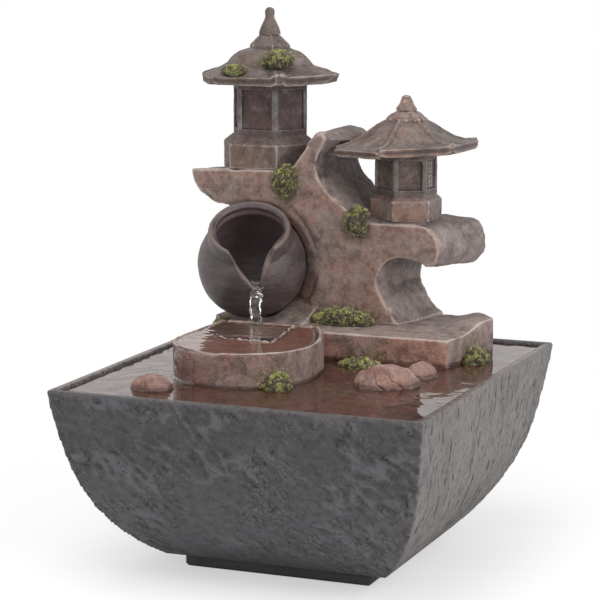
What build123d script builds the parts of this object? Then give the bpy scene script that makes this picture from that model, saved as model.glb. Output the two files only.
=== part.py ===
from build123d import *
from math import cos, pi, radians, sin, sqrt
import os

os.makedirs("parts", exist_ok=True)

# Indoor tabletop fountain. Millimetres, +Z up, origin on the floor under the middle of the bowl,
# front towards -Y. Each list that ends in share or shares holds fractions of the sizes it follows.

overrun = 1.0                 # how far a cutting shape runs past the face it cuts
fit_gap = 0.3                 # gap between loose neighbours
running_gap = 0.05            # radial gap of a part that turns or slides on another

# Bowl: half sizes at the rim, at the shoulder where its two arcs meet, and at the foot
bowl_width = 200.0
bowl_depth = 220.0
bowl_height = 102.0
bowl_wall = 4.5
bowl_floor = 5.0
side_shoulder_half = 92.9
side_shoulder_z = 59.2
side_foot_half = 60.9
side_lean = 5.9               # degrees from upright at the rim
front_shoulder_half = 91.5
front_shoulder_z = 46.3
front_foot_half = 53.2
front_lean = 9.8              # degrees
ledge_width = 4.0
ledge_thickness = 4.0

# Plinth and the soft pad let into its underside
plinth_width = 103.4
plinth_depth = 100.0
plinth_height = 7.0
plinth_chamfer = 1.2
pad_margin = 6.0              # from the plinth's sides to the pad
pad_corner = 4.0
pad_thickness = 2.0
pad_proud = 0.6

# Deck that covers the bowl
deck_thickness = 2.5
deck_drop = 4.0               # from the rim down to the deck's top
deck_gap = 0.4
drain_count = 3
drain_width = 3.0
drain_length = 10.0
drain_pitch = 13.0
drain_inset = 8.0             # from the deck's left side to the slots
drain_y = 78.0

# Step behind the pool
step_front_y = 24.3
step_right_half = 66.5        # from the middle to its front right corner
step_left_half = 62.0
step_depth = 76.0
step_height = 17.4
step_flare = 8.5              # how much further right its right side ends
step_left_flare = 17.0        # how much further left its left side runs behind the pot
step_flare_depth = 28.0
step_corner_x = 17.0          # the cut rear right corner
step_corner_y = 21.5
step_fillet = 2.0

# Rock wall, between its front and back planes
rock_left = -95.5
rock_width = 146.1
rock_height = 103.6
rock_front_y = 55.5
rock_depth = 45.0
rock_middle_depth_share = 0.38
rock_middle_shift_share = 0.5
front_arm_end_shares = [(0.0, 0.784), (0.008, 0.719), (0.062, 0.631), (0.137, 0.593)]
front_hollow_shares = [(0.137, 0.593), (0.214, 0.48), (0.236, 0.334), (0.205, 0.13), (0.127, 0.0)]
front_scoop_shares = [(0.842, 0.0), (0.774, 0.151), (0.758, 0.223), (0.793, 0.332), (0.87, 0.362),
                      (0.949, 0.319)]
front_arm_nose_shares = [(0.949, 0.319), (0.993, 0.37), (0.993, 0.46), (0.929, 0.54)]
front_notch_shares = [(0.695, 0.54), (0.593, 0.646), (0.53, 0.74), (0.512, 0.82), (0.53, 0.905),
                      (0.553, 0.97)]
front_crest_shares = [(0.553, 0.97), (0.53, 0.998), (0.504, 0.978)]
front_arm_root_share = (0.407, 0.795)
back_arm_end_shares = [(0.16, 0.764), (0.175, 0.7), (0.235, 0.63), (0.3, 0.59)]
back_hollow_shares = [(0.3, 0.59), (0.32, 0.46), (0.31, 0.3), (0.26, 0.12), (0.16, 0.0)]
back_scoop_shares = [(0.925, 0.0), (0.857, 0.1), (0.828, 0.235), (0.855, 0.31), (0.93, 0.325),
                     (1.024, 0.296)]
back_arm_nose_shares = [(1.024, 0.296), (1.075, 0.352), (1.07, 0.492), (1.022, 0.535)]
back_notch_shares = [(0.735, 0.56), (0.642, 0.673), (0.585, 0.773), (0.57, 0.83), (0.585, 0.89),
                     (0.63, 0.925)]
back_crest_shares = [(0.63, 0.925), (0.61, 0.97), (0.535, 1.0)]
back_arm_root_share = (0.4, 0.8)

# Pot, nested in a hollow of the rock
pot_place_share = 0.2717      # of the rock's width, from its left end to the pot's middle
pot_nest = 5.5                # from the pot's middle back to the rock's front plane
pot_radius = 30.1
pot_wall = 3.0
pot_neck_height = 19.0        # along the mouth's axis, where the ball turns into the neck
pot_mouth_height = 26.8
pot_mouth_radius = 22.6
pot_lip_radius = 1.45
pot_tip = 56.0                # degrees from level to the mouth's axis
pot_turn = 17.0               # degrees that the mouth faces right of the front
spout_turn = 25.5             # degrees that the spout points right of the front
spout_drop = 18.0             # degrees below level from the pot's centre
spout_half_width = 13.7
spout_tip_half_width = 2.8
spout_length = 24.0
spout_cut_depth = 24.0
niche_radius = 41.0           # of the ring that the hollow draws on the rock's face
niche_depth = 12.0
niche_shift = 4.2             # of the ring's middle, left of the pot's
niche_drop = 6.3              # of the ring's middle, below the pot's
cradle_left_half = 6.0        # from the pot's middle
cradle_right_half = 36.0
cradle_rise = 14.0
cradle_lip = 3.0
cradle_lip_height = 0.8

# Pool in front of the step
pool_x = -26.5
pool_y = -28.0
pool_radius = 37.5
pool_height = 20.6
pool_left_back_half = 35.5
pool_right_back_half = 20.0
pool_wall = 3.2
pool_inner_depth = 5.6
notch_width = 30.0
notch_depth = 1.2
notch_turn = 23.0             # degrees that the notch faces left of the front

# Tall lantern: its place and the bottom and top of its base, in shares of the rock's size. The
# base starts below the arm's top, where it is trimmed to the rock.
tall_place_shares = (0.26, 0.5444)
tall_seat_share = 0.7683
tall_base_top_share = 0.9189
tall_turn = 0.0
tall_base_radius = 28.2
tall_flare_height = 4.4
tall_body_radius = 22.2
tall_body_height = 29.2
tall_roof_radius = 42.2
tall_roof_height = 18.4
tall_eave = 5.2
tall_cap_radius = 12.2
tall_cap_height = 7.4
tall_finial_radius = 6.0
tall_finial_height = 15.2

# Small lantern, placed in the same way
small_place_shares = (0.8125, 0.5444)
small_seat_share = 0.527
small_base_top_share = 0.6467
small_turn = 28.0
small_base_radius = 20.1
small_flare_height = 2.2
small_body_radius = 17.3
small_body_height = 23.4
small_roof_radius = 41.3
small_roof_height = 17.0
small_eave = 3.6
small_cap_radius = 11.4
small_cap_height = 5.6
small_finial_radius = 5.6
small_finial_height = 8.4

# Shared lantern forms
lantern_sides = 6
post_width = 4.2
rail_height = 3.6
panel_recess = 1.3
cap_band_share = 0.25         # of the cap's height, its upright band
tall_slope_shares = [(1.0, 0.0), (0.88, 0.08), (0.735, 0.19), (0.623, 0.34), (0.557, 0.58),
                     (0.457, 0.83), (0.3, 1.0)]
small_slope_shares = [(1.0, 0.0), (0.88, 0.06), (0.77, 0.14), (0.65, 0.3), (0.52, 0.55),
                      (0.4, 0.8), (0.28, 1.0)]
finial_shares = [(1.0, 0.0), (0.92, 0.2), (0.62, 0.45), (0.42, 0.68), (0.46, 0.85), (0.3, 0.97)]
lattice_hole = 1.1
lattice_pitch_share = 2.2     # of the hole's width
lattice_rows = 5
lattice_columns = 2

# Pebbles: place in shares of half the bowl's width and depth, half length, half width and height
# in shares of the pebble size, and turn in shares of a full turn
pebble_size = 10.0
pebble_place_shares = {
    "rock_left": (-0.56, -0.718),
    "rock_right": (0.515, -0.245),
    "rock_small": (0.605, 0.005),
}
pebble_form_shares = {
    "rock_left": (1.15, 0.95, 1.05),
    "rock_right": (1.75, 1.3, 1.35),
    "rock_small": (0.9, 0.8, 1.05),
}
pebble_turn_shares = {"rock_left": 0.042, "rock_right": 0.069, "rock_small": 0.111}

# Moss: the middle of each clump in shares of the size of what it grows on, and its half sizes in
# shares of the moss size, before it is trimmed
moss_size = 10.0
moss_roof_shares = {
    "moss_roof_left": ((-0.201, -0.75, 0.44), (0.6, 0.5, 0.4)),
    "moss_roof_front": ((0.33, -0.51, 0.77), (0.85, 0.8, 0.54)),
}
moss_rock_shares = {
    "moss_arm": ((0.39, -0.022, 0.744), (0.7, 0.46, 1.05)),
    "moss_notch": ((0.681, -0.011, 0.551), (0.68, 0.55, 0.95)),
    "moss_step": ((0.64, -0.122, 0.011), (1.75, 0.65, 0.85)),
}
moss_step_shares = {
    "moss_step_front": ((0.642, -0.109, 0.0), (1.25, 0.85, 0.95)),
    "moss_step_side": ((1.058, 0.325, 0.058), (0.6, 0.9, 1.2)),
}
moss_pot_shares = {"moss_pot": ((-0.45, -0.367, 0.0), (0.46, 0.6, 0.42))}
moss_pool_shares = {"moss_pool": ((0.745, -0.715, 0.049), (0.9, 0.65, 1.05))}

# Pump on the bowl's floor, its axis along Y and its inlet side towards the back
pump_x = -32.0
pump_front_y = -3.0
pump_length = 34.0
pump_width = 44.0
pump_height = 28.0
pump_wall = 2.2
pump_corner = 3.0
cup_height = 5.0
cup_radius = 5.0
cup_stem_radius = 2.0
cup_spacing_x = 30.0
cup_spacing_y = 22.0
chamber_radius = 11.5
chamber_depth = 10.0
well_radius = 6.9
well_wall = 1.3
well_depth = 19.0
potting_thickness = 2.8
magnet_gap = 0.6              # radial, between the magnet and its well
magnet_length = 16.0
shaft_radius = 1.0
bush_radius = 3.5
bush_length = 1.8
wheel_gap = 1.2               # radial, between the wheel and its chamber
wheel_disc = 1.2
wheel_hub_radius = 2.8
blade_count = 6
blade_height = 5.6
blade_thickness = 1.1
nozzle_offset_x = -6.0
nozzle_radius = 4.0
nozzle_bore_radius = 2.8
nozzle_height = 8.0
plate_thickness = 1.6
plate_edge = 1.0              # how far the plate stops short of the housing's sides
eye_radius = 4.5
cover_depth = 9.4
cover_wall = 1.6
grille_slot_width = 1.8
grille_slot_count = 3
grille_slot_pitch = 3.6
grille_side_offset = 14.5
dial_radius = 7.0
dial_thickness = 2.4
dial_pin_radius = 1.5
dial_head_radius = 2.6
dial_head_thickness = 0.9
dial_grip_height = 1.6
dial_grip_width = 1.6
dial_grip_length = 3.5
dial_grip_offset = 4.7
port_radius = 1.8
port_offset = 4.2
gland_radius = 3.4
gland_tip_radius = 2.4
gland_length = 4.0
gland_bore_radius = 1.6
gland_taper = 20.0            # degrees
gland_offset_x = 10.0

# Hose from the pump to the pot
hose_wall = 1.5
hose_gap = 0.08               # radial gap between the hose and the nozzle it slides off
hose_rise = 16.0              # straight part over the pump before the first bend
hose_step_drop = 12.0         # from the deck down to the second bend
hose_pot_rise = 10.0          # how far the hose ends above the pot's outer bottom
bend_share = 0.45             # of the shorter run, taken by each bend
grommet_flange = 2.0
grommet_thickness = 1.4

# Sealed way for the pump's lead through the rear wall
lead_x = 30.0
lead_place_share = 0.42       # down the rear wall's upper arc
lead_hole_radius = 4.6
lead_flange_radius = 7.0
lead_flange_thickness = 0.9
lead_bore_radius = 2.3

# Places worked out from the sizes above
foot_z = plinth_height
floor_z = foot_z + bowl_floor
deck_top_z = bowl_height - deck_drop
ledge_z = deck_top_z - deck_thickness
step_top_z = deck_top_z + step_height
pool_top_z = deck_top_z + pool_height
rock_back_y = rock_front_y + rock_depth
rock_base_z = step_top_z
pot_x = rock_left + pot_place_share * rock_width
pot_y = rock_front_y - pot_nest
pot_bottom_z = step_top_z + fit_gap
pot_z = pot_bottom_z + pot_radius
pump_bottom_z = floor_z + cup_height
pump_axis_z = pump_bottom_z + pump_height / 2
pump_top_z = pump_bottom_z + pump_height
pump_back_y = pump_front_y + pump_length
magnet_radius = well_radius - magnet_gap
wheel_radius = chamber_radius - wheel_gap
nozzle_x = pump_x + nozzle_offset_x
nozzle_y = pump_back_y - chamber_depth / 2
tall_x = rock_left + tall_place_shares[0] * rock_width
tall_y = rock_front_y + tall_place_shares[1] * rock_depth
tall_base_top_z = rock_base_z + tall_base_top_share * rock_height
tall_body_z = tall_base_top_z + tall_flare_height
tall_roof_z = tall_body_z + tall_body_height
tall_cap_z = tall_roof_z + tall_roof_height
small_x = rock_left + small_place_shares[0] * rock_width
small_y = rock_front_y + small_place_shares[1] * rock_depth
small_base_top_z = rock_base_z + small_base_top_share * rock_height
small_body_z = small_base_top_z + small_flare_height
small_roof_z = small_body_z + small_body_height
small_cap_z = small_roof_z + small_roof_height
hose_bore_radius = nozzle_radius + hose_gap
hose_radius = hose_bore_radius + hose_wall


# Shapes used more than once
def bowl_profile(plane, half_rim, half_shoulder, shoulder_z, half_foot, lean, inset, low_z):
    """Half profile of two tangent arcs, mirrored. An inset one runs past the rim to cut it open."""
    high_z = bowl_height + (overrun if inset else 0)
    with BuildSketch(plane) as profile:
        with BuildLine():
            Line((0, high_z), (half_rim - inset, high_z))
            upper = TangentArc((half_rim - inset, high_z), (half_shoulder - inset, shoulder_z),
                               tangent=(-sin(radians(lean)), -cos(radians(lean))))
            lower = TangentArc(upper @ 1, (half_foot - inset, low_z), tangent=upper % 1)
            Line(lower @ 1, (0, low_z))
            Line((0, low_z), (0, high_z))
        make_face()
        mirror(about=Plane.YZ)
    return profile.sketch


def bowl_block(inset, low_z):
    """The bowl's outer form drawn in by inset, from low_z to the rim: two curved profiles crossed."""
    with BuildPart() as block:
        add(bowl_profile(Plane.XZ.offset(-bowl_depth), bowl_width / 2, side_shoulder_half,
                         side_shoulder_z, side_foot_half, side_lean, inset, low_z))
        extrude(amount=2 * bowl_depth, dir=(0, -1, 0))
        add(bowl_profile(Plane.YZ.offset(-bowl_width), bowl_depth / 2, front_shoulder_half,
                         front_shoulder_z, front_foot_half, front_lean, inset, low_z))
        extrude(amount=2 * bowl_width, dir=(1, 0, 0), mode=Mode.INTERSECT)
    return block.part


def rock_point(share):
    """A point of the rock's outline from its shares of the rock's width and height."""
    return (rock_left + share[0] * rock_width, rock_base_z + share[1] * rock_height)


def between(first, second, weight):
    """The points that lie weight of the way from the first list to the second."""
    return [tuple(a + weight * (b - a) for a, b in zip(p, q)) for p, q in zip(first, second)]


def rock_section(y, weight):
    """The rock's outline in the plane at y, weight of the way from its front form to its back form."""
    arm_end = between(front_arm_end_shares, back_arm_end_shares, weight)
    hollow = between(front_hollow_shares, back_hollow_shares, weight)
    scoop = between(front_scoop_shares, back_scoop_shares, weight)
    arm_nose = between(front_arm_nose_shares, back_arm_nose_shares, weight)
    notch = between(front_notch_shares, back_notch_shares, weight)
    crest = between(front_crest_shares, back_crest_shares, weight)
    arm_root = between([front_arm_root_share], [back_arm_root_share], weight)[0]
    with BuildSketch(Plane.XZ.offset(-y)) as section:
        with BuildLine():
            Spline([rock_point(s) for s in arm_end])
            Spline([rock_point(s) for s in hollow])
            Line(rock_point(hollow[-1]), rock_point(scoop[0]))
            Spline([rock_point(s) for s in scoop])
            Spline([rock_point(s) for s in arm_nose])
            Line(rock_point(arm_nose[-1]), rock_point(notch[0]))
            Spline([rock_point(s) for s in notch])
            Spline([rock_point(s) for s in crest])
            Line(rock_point(crest[-1]), rock_point(arm_root))
            Line(rock_point(arm_root), rock_point(arm_end[0]))
        make_face()
    return section.sketch


def hexagon_at(x, y, z, turn, radius):
    """A hexagon in the level plane at z, corners at radius, turned by turn degrees."""
    with BuildSketch(Plane((x, y, z))) as shape:
        RegularPolygon(radius, lantern_sides, rotation=turn)
    return shape.sketch


def lantern_base(x, y, turn, seat_z, top_z, radius, flare_height, body_radius):
    """Straight hexagonal base with a flared top that draws in to the body."""
    with BuildPart() as base:
        add(hexagon_at(x, y, seat_z, turn, radius))
        extrude(amount=top_z - seat_z)
        add(hexagon_at(x, y, top_z, turn, radius))
        add(hexagon_at(x, y, top_z + flare_height, turn, body_radius))
        loft(ruled=True)
    return base.part


def lantern_body(x, y, turn, bottom_z, height, radius, lattice_side):
    """Hexagonal body with corner posts, rails and sunk panels, one panel pierced by a lattice."""
    apothem = radius * cos(radians(180 / lantern_sides))
    panel_width = radius - post_width
    panel_height = height - 2 * rail_height
    with BuildPart() as body:
        add(hexagon_at(x, y, bottom_z, turn, radius))
        extrude(amount=height)
        for side in range(lantern_sides):
            angle = radians(turn + (side + 0.5) * 360 / lantern_sides)
            out = Vector(cos(angle), sin(angle), 0)
            middle = Vector(x, y, bottom_z + height / 2) + out * apothem
            along = Vector(-sin(angle), cos(angle), 0)
            with BuildSketch(Plane(origin=middle, x_dir=along, z_dir=out)):
                Rectangle(panel_width, panel_height)
            extrude(amount=-panel_recess, mode=Mode.SUBTRACT)
            if side == lattice_side:
                pitch = lattice_hole * lattice_pitch_share
                with BuildSketch(Plane(origin=middle - out * panel_recess, x_dir=along, z_dir=out)):
                    with GridLocations(pitch, pitch, lattice_columns, lattice_rows):
                        Rectangle(lattice_hole, lattice_hole)
                extrude(amount=-panel_recess, mode=Mode.SUBTRACT)
    return body.part


def lantern_roof(x, y, turn, bottom_z, radius, height, eave, slope_shares):
    """Eave with upright sides under a slope that is steep at the top and flares outwards."""
    with BuildPart() as roof:
        add(hexagon_at(x, y, bottom_z, turn, radius))
        extrude(amount=eave)
        for out_share, up_share in slope_shares:
            rise = (height - eave) * up_share
            add(hexagon_at(x, y, bottom_z + eave + rise, turn, radius * out_share))
        loft(ruled=True)
    return roof.part


def lantern_cap(x, y, turn, bottom_z, radius, height, top_radius):
    """Short upright band and a cone that carries the finial."""
    with BuildPart() as cap:
        add(hexagon_at(x, y, bottom_z, turn, radius))
        extrude(amount=height * cap_band_share)
        add(hexagon_at(x, y, bottom_z + height * cap_band_share, turn, radius))
        add(hexagon_at(x, y, bottom_z + height, turn, top_radius))
        loft(ruled=True)
    return cap.part


def lantern_finial(x, y, bottom_z, radius, height):
    """Turned bud: a round foot, a waist and a knob."""
    points = [(radius * out, height * up) for out, up in finial_shares]
    with BuildPart() as finial:
        with BuildSketch(Plane((x, y, bottom_z), x_dir=(1, 0, 0), z_dir=(0, -1, 0))):
            with BuildLine():
                Line((0, 0), points[0])
                side = Spline(points)
                Spline([side @ 1, (0, height)], tangents=[side % 1, (-1, 0)])
                Line((0, height), (0, 0))
            make_face()
        revolve(axis=Axis((x, y, bottom_z), (0, 0, 1)))
    return finial.part


# Bowl
bowl_outside = bowl_block(0, foot_z)
bowl_inside = bowl_block(bowl_wall, floor_z)
inside_ledge = bowl_block(bowl_wall + ledge_width, floor_z)
inside_deck = bowl_block(bowl_wall + deck_gap, floor_z)

with BuildPart() as ledge_ring:
    with BuildSketch(Plane.XY.offset(ledge_z - ledge_thickness)):
        Rectangle(bowl_width, bowl_depth)
    extrude(amount=ledge_thickness)
    add(inside_ledge, mode=Mode.SUBTRACT)

with BuildPart() as bowl_hollow:
    add(bowl_inside)
    add(ledge_ring.part, mode=Mode.SUBTRACT)

with BuildLine(Plane.YZ) as rear_edge:
    TangentArc((bowl_depth / 2, bowl_height), (front_shoulder_half, front_shoulder_z),
               tangent=(-sin(radians(front_lean)), -cos(radians(front_lean))))
rear_point = rear_edge.line @ lead_place_share
rear_slope = rear_edge.line % lead_place_share
rear_normal = Vector(0, -rear_slope.Z, rear_slope.Y)
lead_plane = Plane(origin=(lead_x, rear_point.Y, rear_point.Z), x_dir=(1, 0, 0), z_dir=rear_normal)

with BuildPart() as basin:
    add(bowl_outside)
    add(bowl_hollow.part, mode=Mode.SUBTRACT)
    with BuildSketch(lead_plane.offset(bowl_wall)):
        Circle(lead_hole_radius)
    extrude(amount=-3 * bowl_wall, mode=Mode.SUBTRACT)
basin.part.label = "basin"
export_step(basin.part, "parts/basin.step")

with BuildPart() as cord_grommet:
    with BuildSketch(lead_plane.offset(-bowl_wall - lead_flange_thickness)):
        Circle(lead_hole_radius)
    extrude(amount=bowl_wall + lead_flange_thickness)
    with BuildSketch(lead_plane):
        Circle(lead_flange_radius)
    extrude(amount=lead_flange_thickness)
    with BuildSketch(lead_plane.offset(lead_flange_thickness)):
        Circle(lead_bore_radius)
    extrude(amount=-3 * bowl_wall, mode=Mode.SUBTRACT)
    add(basin.part, mode=Mode.SUBTRACT)
cord_grommet.part.label = "cord_grommet"
export_step(cord_grommet.part, "parts/cord_grommet.step")

# Plinth and its pad
with BuildPart() as plinth:
    with BuildSketch(Plane.XY.offset(pad_proud)):
        Rectangle(plinth_width, plinth_depth)
    extrude(amount=plinth_height - pad_proud)
    chamfer(plinth.edges().filter_by(Axis.Z), plinth_chamfer)
    chamfer(plinth.faces().sort_by(Axis.Z)[0].edges(), plinth_chamfer)
    with BuildSketch(Plane.XY.offset(pad_proud)):
        RectangleRounded(plinth_width - 2 * pad_margin, plinth_depth - 2 * pad_margin, pad_corner)
    extrude(amount=pad_thickness - pad_proud, mode=Mode.SUBTRACT)
plinth.part.label = "plinth"
export_step(plinth.part, "parts/plinth.step")

with BuildPart() as base_pad:
    with BuildSketch():
        RectangleRounded(plinth_width - 2 * pad_margin, plinth_depth - 2 * pad_margin, pad_corner)
    extrude(amount=pad_thickness)
base_pad.part.label = "base_pad"
export_step(base_pad.part, "parts/base_pad.step")

# Deck, with the hose's hole and the drain slots
with BuildPart() as deck_tray:
    add(inside_deck)
    with BuildSketch(Plane.XY.offset(ledge_z)):
        Rectangle(bowl_width, bowl_depth)
    extrude(amount=deck_thickness, mode=Mode.INTERSECT)
    with BuildSketch(Plane.XY.offset(ledge_z)):
        with Locations((pot_x, pot_y)):
            Circle(hose_radius + fit_gap)
        with Locations((-bowl_width / 2 + bowl_wall + deck_gap + drain_inset, drain_y)):
            with GridLocations(0, drain_pitch, 1, drain_count):
                SlotOverall(drain_length, drain_width, rotation=90)
    extrude(amount=deck_thickness, mode=Mode.SUBTRACT)
deck_tray.part.label = "deck_tray"
export_step(deck_tray.part, "parts/deck_tray.step")

# Step, wider at the back
with BuildPart() as step_slab:
    with BuildSketch(Plane.XY.offset(deck_top_z)):
        with BuildLine():
            step_end = step_right_half + step_flare
            step_back_y = step_front_y + step_depth
            Polyline((-step_left_half, step_front_y), (step_right_half, step_front_y),
                     (step_end, step_back_y - step_corner_y), (step_end - step_corner_x, step_back_y),
                     (-step_left_half - step_left_flare, step_back_y),
                     (-step_left_half - step_left_flare, step_front_y + step_flare_depth), close=True)
        make_face()
    extrude(amount=step_height)
    fillet(step_slab.edges().filter_by(Axis.Z), step_fillet)
    with BuildSketch(Plane.XY.offset(deck_top_z)):
        with Locations((pot_x, pot_y)):
            Circle(hose_radius + fit_gap)
    extrude(amount=step_height, mode=Mode.SUBTRACT)
step_slab.part.label = "step_slab"
export_step(step_slab.part, "parts/step_slab.step")

# Rock wall, hollowed for the pot and cleared for the small roof that its crest curls behind
niche_reach = (niche_radius ** 2 - niche_depth ** 2) / (2 * niche_depth)
niche_sphere_radius = niche_reach + niche_depth
pot_middle = Vector(pot_x, pot_y, pot_z)
mouth_axis = Vector(sin(radians(pot_turn)) * cos(radians(pot_tip)),
                    -cos(radians(pot_turn)) * cos(radians(pot_tip)), sin(radians(pot_tip)))
neck_radius = sqrt(pot_radius ** 2 - pot_neck_height ** 2)
roof_clearance = lantern_roof(small_x, small_y, small_turn, small_roof_z - fit_gap,
                              small_roof_radius + fit_gap, small_roof_height + 2 * fit_gap,
                              small_eave + 2 * fit_gap, small_slope_shares)
with BuildPart() as rock_wall:
    add(rock_section(rock_front_y, 0))
    add(rock_section(rock_front_y + rock_depth * rock_middle_depth_share, rock_middle_shift_share))
    add(rock_section(rock_back_y, 1))
    loft(ruled=True)
    with Locations((pot_x - niche_shift, rock_front_y - niche_reach, pot_z - niche_drop)):
        Sphere(niche_sphere_radius, mode=Mode.SUBTRACT)
    with Locations(pot_middle):
        Sphere(pot_radius + fit_gap, mode=Mode.SUBTRACT)
    with BuildSketch(Plane(origin=pot_middle + mouth_axis * pot_neck_height, z_dir=mouth_axis)):
        Circle(neck_radius + fit_gap)
    extrude(amount=pot_mouth_height - pot_neck_height + fit_gap, mode=Mode.SUBTRACT)
    add(roof_clearance, mode=Mode.SUBTRACT)
rock_wall.part.label = "rock_wall"
export_step(rock_wall.part, "parts/rock_wall.step")

# Sloped foot of the rock that the pot nests in
with BuildPart() as pot_cradle:
    with BuildSketch(Plane.YZ.offset(pot_x - cradle_left_half)):
        with BuildLine():
            front_foot = (step_front_y, step_top_z)
            lip_z = step_top_z + cradle_lip_height
            front_lip = (step_front_y, lip_z)
            slope_start = (step_front_y + cradle_lip, lip_z)
            slope_end = (rock_front_y + niche_depth, pool_top_z + cradle_rise)
            Polyline((rock_front_y + niche_depth, step_top_z), front_foot, front_lip, slope_start)
            TangentArc(slope_start, slope_end, tangent=(1, 0))
            Line(slope_end, (rock_front_y + niche_depth, step_top_z))
        make_face()
    extrude(amount=cradle_left_half + cradle_right_half)
    with Locations(pot_middle):
        Sphere(pot_radius + fit_gap, mode=Mode.SUBTRACT)
    add(rock_wall.part, mode=Mode.SUBTRACT)
    with BuildSketch(Plane((pot_x, pot_y, step_top_z))):
        Circle(hose_radius + grommet_thickness + fit_gap)
    extrude(amount=pot_radius, mode=Mode.SUBTRACT)
pot_cradle.part.label = "pot_cradle"
export_step(pot_cradle.part, "parts/pot_cradle.step")

# Pot: a ball with a tipped neck, a round lip and a V cut for the spout
spout_axis = Vector(sin(radians(spout_turn)) * cos(radians(spout_drop)),
                    -cos(radians(spout_turn)) * cos(radians(spout_drop)), -sin(radians(spout_drop)))
spout_side = mouth_axis.cross(spout_axis).normalized()
spout_plane = Plane(origin=pot_middle + spout_axis * (pot_radius + 2 * pot_lip_radius),
                    x_dir=spout_side, z_dir=spout_axis)
pot_inner_radius = pot_radius - pot_wall
neck_inner_radius = sqrt(pot_inner_radius ** 2 - pot_neck_height ** 2)
lip_start = pot_mouth_height - pot_lip_radius

with BuildPart() as pot:
    with BuildSketch(Plane(origin=pot_middle, x_dir=spout_side, z_dir=spout_side.cross(mouth_axis))):
        with BuildLine():
            ThreePointArc((0, -pot_radius), (pot_radius, 0), (neck_radius, pot_neck_height))
            Line((neck_radius, pot_neck_height), (pot_mouth_radius, lip_start))
            ThreePointArc((pot_mouth_radius, lip_start),
                          (pot_mouth_radius - pot_lip_radius, pot_mouth_height),
                          (pot_mouth_radius - 2 * pot_lip_radius, lip_start))
            Line((pot_mouth_radius - 2 * pot_lip_radius, lip_start),
                 (neck_inner_radius, pot_neck_height))
            ThreePointArc((neck_inner_radius, pot_neck_height), (pot_inner_radius, 0),
                          (0, -pot_inner_radius))
            Line((0, -pot_inner_radius), (0, -pot_radius))
        make_face()
    revolve(axis=Axis(pot_middle, mouth_axis))
    with BuildSketch(spout_plane):
        with BuildLine():
            Polyline((-spout_tip_half_width, 0), (spout_tip_half_width, 0),
                     (spout_half_width, spout_length), (-spout_half_width, spout_length), close=True)
        make_face()
    extrude(amount=-spout_cut_depth, mode=Mode.SUBTRACT)
    with BuildSketch(Plane((pot_x, pot_y, pot_z - pot_radius - overrun))):
        Circle(hose_radius + grommet_thickness)
    extrude(amount=pot_radius, mode=Mode.SUBTRACT)
pot.part.label = "pot"
export_step(pot.part, "parts/pot.step")

with BuildPart() as pot_grommet:
    with BuildSketch(Plane((pot_x, pot_y, pot_bottom_z))):
        Circle(hose_radius + grommet_thickness)
    extrude(amount=pot_wall)
    with BuildSketch(Plane((pot_x, pot_y, pot_bottom_z + pot_wall))):
        Circle(hose_radius + grommet_thickness + grommet_flange)
    extrude(amount=grommet_flange)
    add(pot.part, mode=Mode.SUBTRACT)
    with BuildSketch(Plane((pot_x, pot_y, pot_bottom_z))):
        Circle(hose_radius)
    extrude(amount=pot_wall + grommet_flange, mode=Mode.SUBTRACT)
pot_grommet.part.label = "pot_grommet"
export_step(pot_grommet.part, "parts/pot_grommet.step")

# Hose: up off the nozzle, across in two bends, then straight up into the pot
hose_low_z = pump_top_z + fit_gap
hose_points = [Vector(nozzle_x, nozzle_y, hose_low_z),
               Vector(nozzle_x, nozzle_y, hose_low_z + hose_rise),
               Vector(pot_x, pot_y, ledge_z - hose_step_drop),
               Vector(pot_x, pot_y, pot_bottom_z + hose_pot_rise)]
hose_runs = [(b - a).length for a, b in zip(hose_points, hose_points[1:])]
hose_turn = (hose_points[1] - hose_points[0]).get_angle(hose_points[2] - hose_points[1])
hose_bend = bend_share * hose_runs[0] / sin(radians(hose_turn / 2)) * cos(radians(hose_turn / 2))
with BuildPart() as riser_tube:
    with BuildLine() as hose_path:
        FilletPolyline(*hose_points, radius=hose_bend)
    with BuildSketch(Plane((nozzle_x, nozzle_y, hose_low_z))):
        Circle(hose_radius)
        Circle(hose_bore_radius, mode=Mode.SUBTRACT)
    sweep()
riser_tube.part.label = "riser_tube"
export_step(riser_tube.part, "parts/riser_tube.step")
hose_area = pi * (hose_radius ** 2 - hose_bore_radius ** 2)
print("hose bend radius", round(hose_bend, 2), "volume over section times length",
      round(riser_tube.part.volume / (hose_area * hose_path.wires()[0].length), 4))

# Pool: round front, nearly straight sides back to the step, a thin rim and a spill notch
with BuildSketch(Plane.XY.offset(deck_top_z)) as pool_outline:
    with BuildLine():
        left_back = (pool_x - pool_left_back_half, step_front_y)
        left_front = (pool_x - pool_radius, pool_y)
        right_front = (pool_x + pool_radius, pool_y)
        right_back = (pool_x + pool_right_back_half, step_front_y)
        Line(left_back, left_front)
        ThreePointArc(left_front, (pool_x, pool_y - pool_radius), right_front)
        TangentArc(right_front, right_back, tangent=(0, 1))
        Line(right_back, left_back)
    make_face()
with BuildPart() as pool_dish:
    add(pool_outline.sketch)
    extrude(amount=pool_height)
    with BuildSketch(Plane.XY.offset(pool_top_z)):
        add(pool_outline.sketch)
        offset(amount=-pool_wall)
    extrude(amount=-pool_inner_depth, mode=Mode.SUBTRACT)
    spill = Plane((pool_x, pool_y, pool_top_z)).rotated((0, 0, -notch_turn))
    with BuildSketch(spill):
        with Locations((0, -pool_radius)):
            Rectangle(notch_width, 4 * pool_wall)
    extrude(amount=-notch_depth, mode=Mode.SUBTRACT)
pool_dish.part.label = "pool_dish"
export_step(pool_dish.part, "parts/pool_dish.step")

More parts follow.
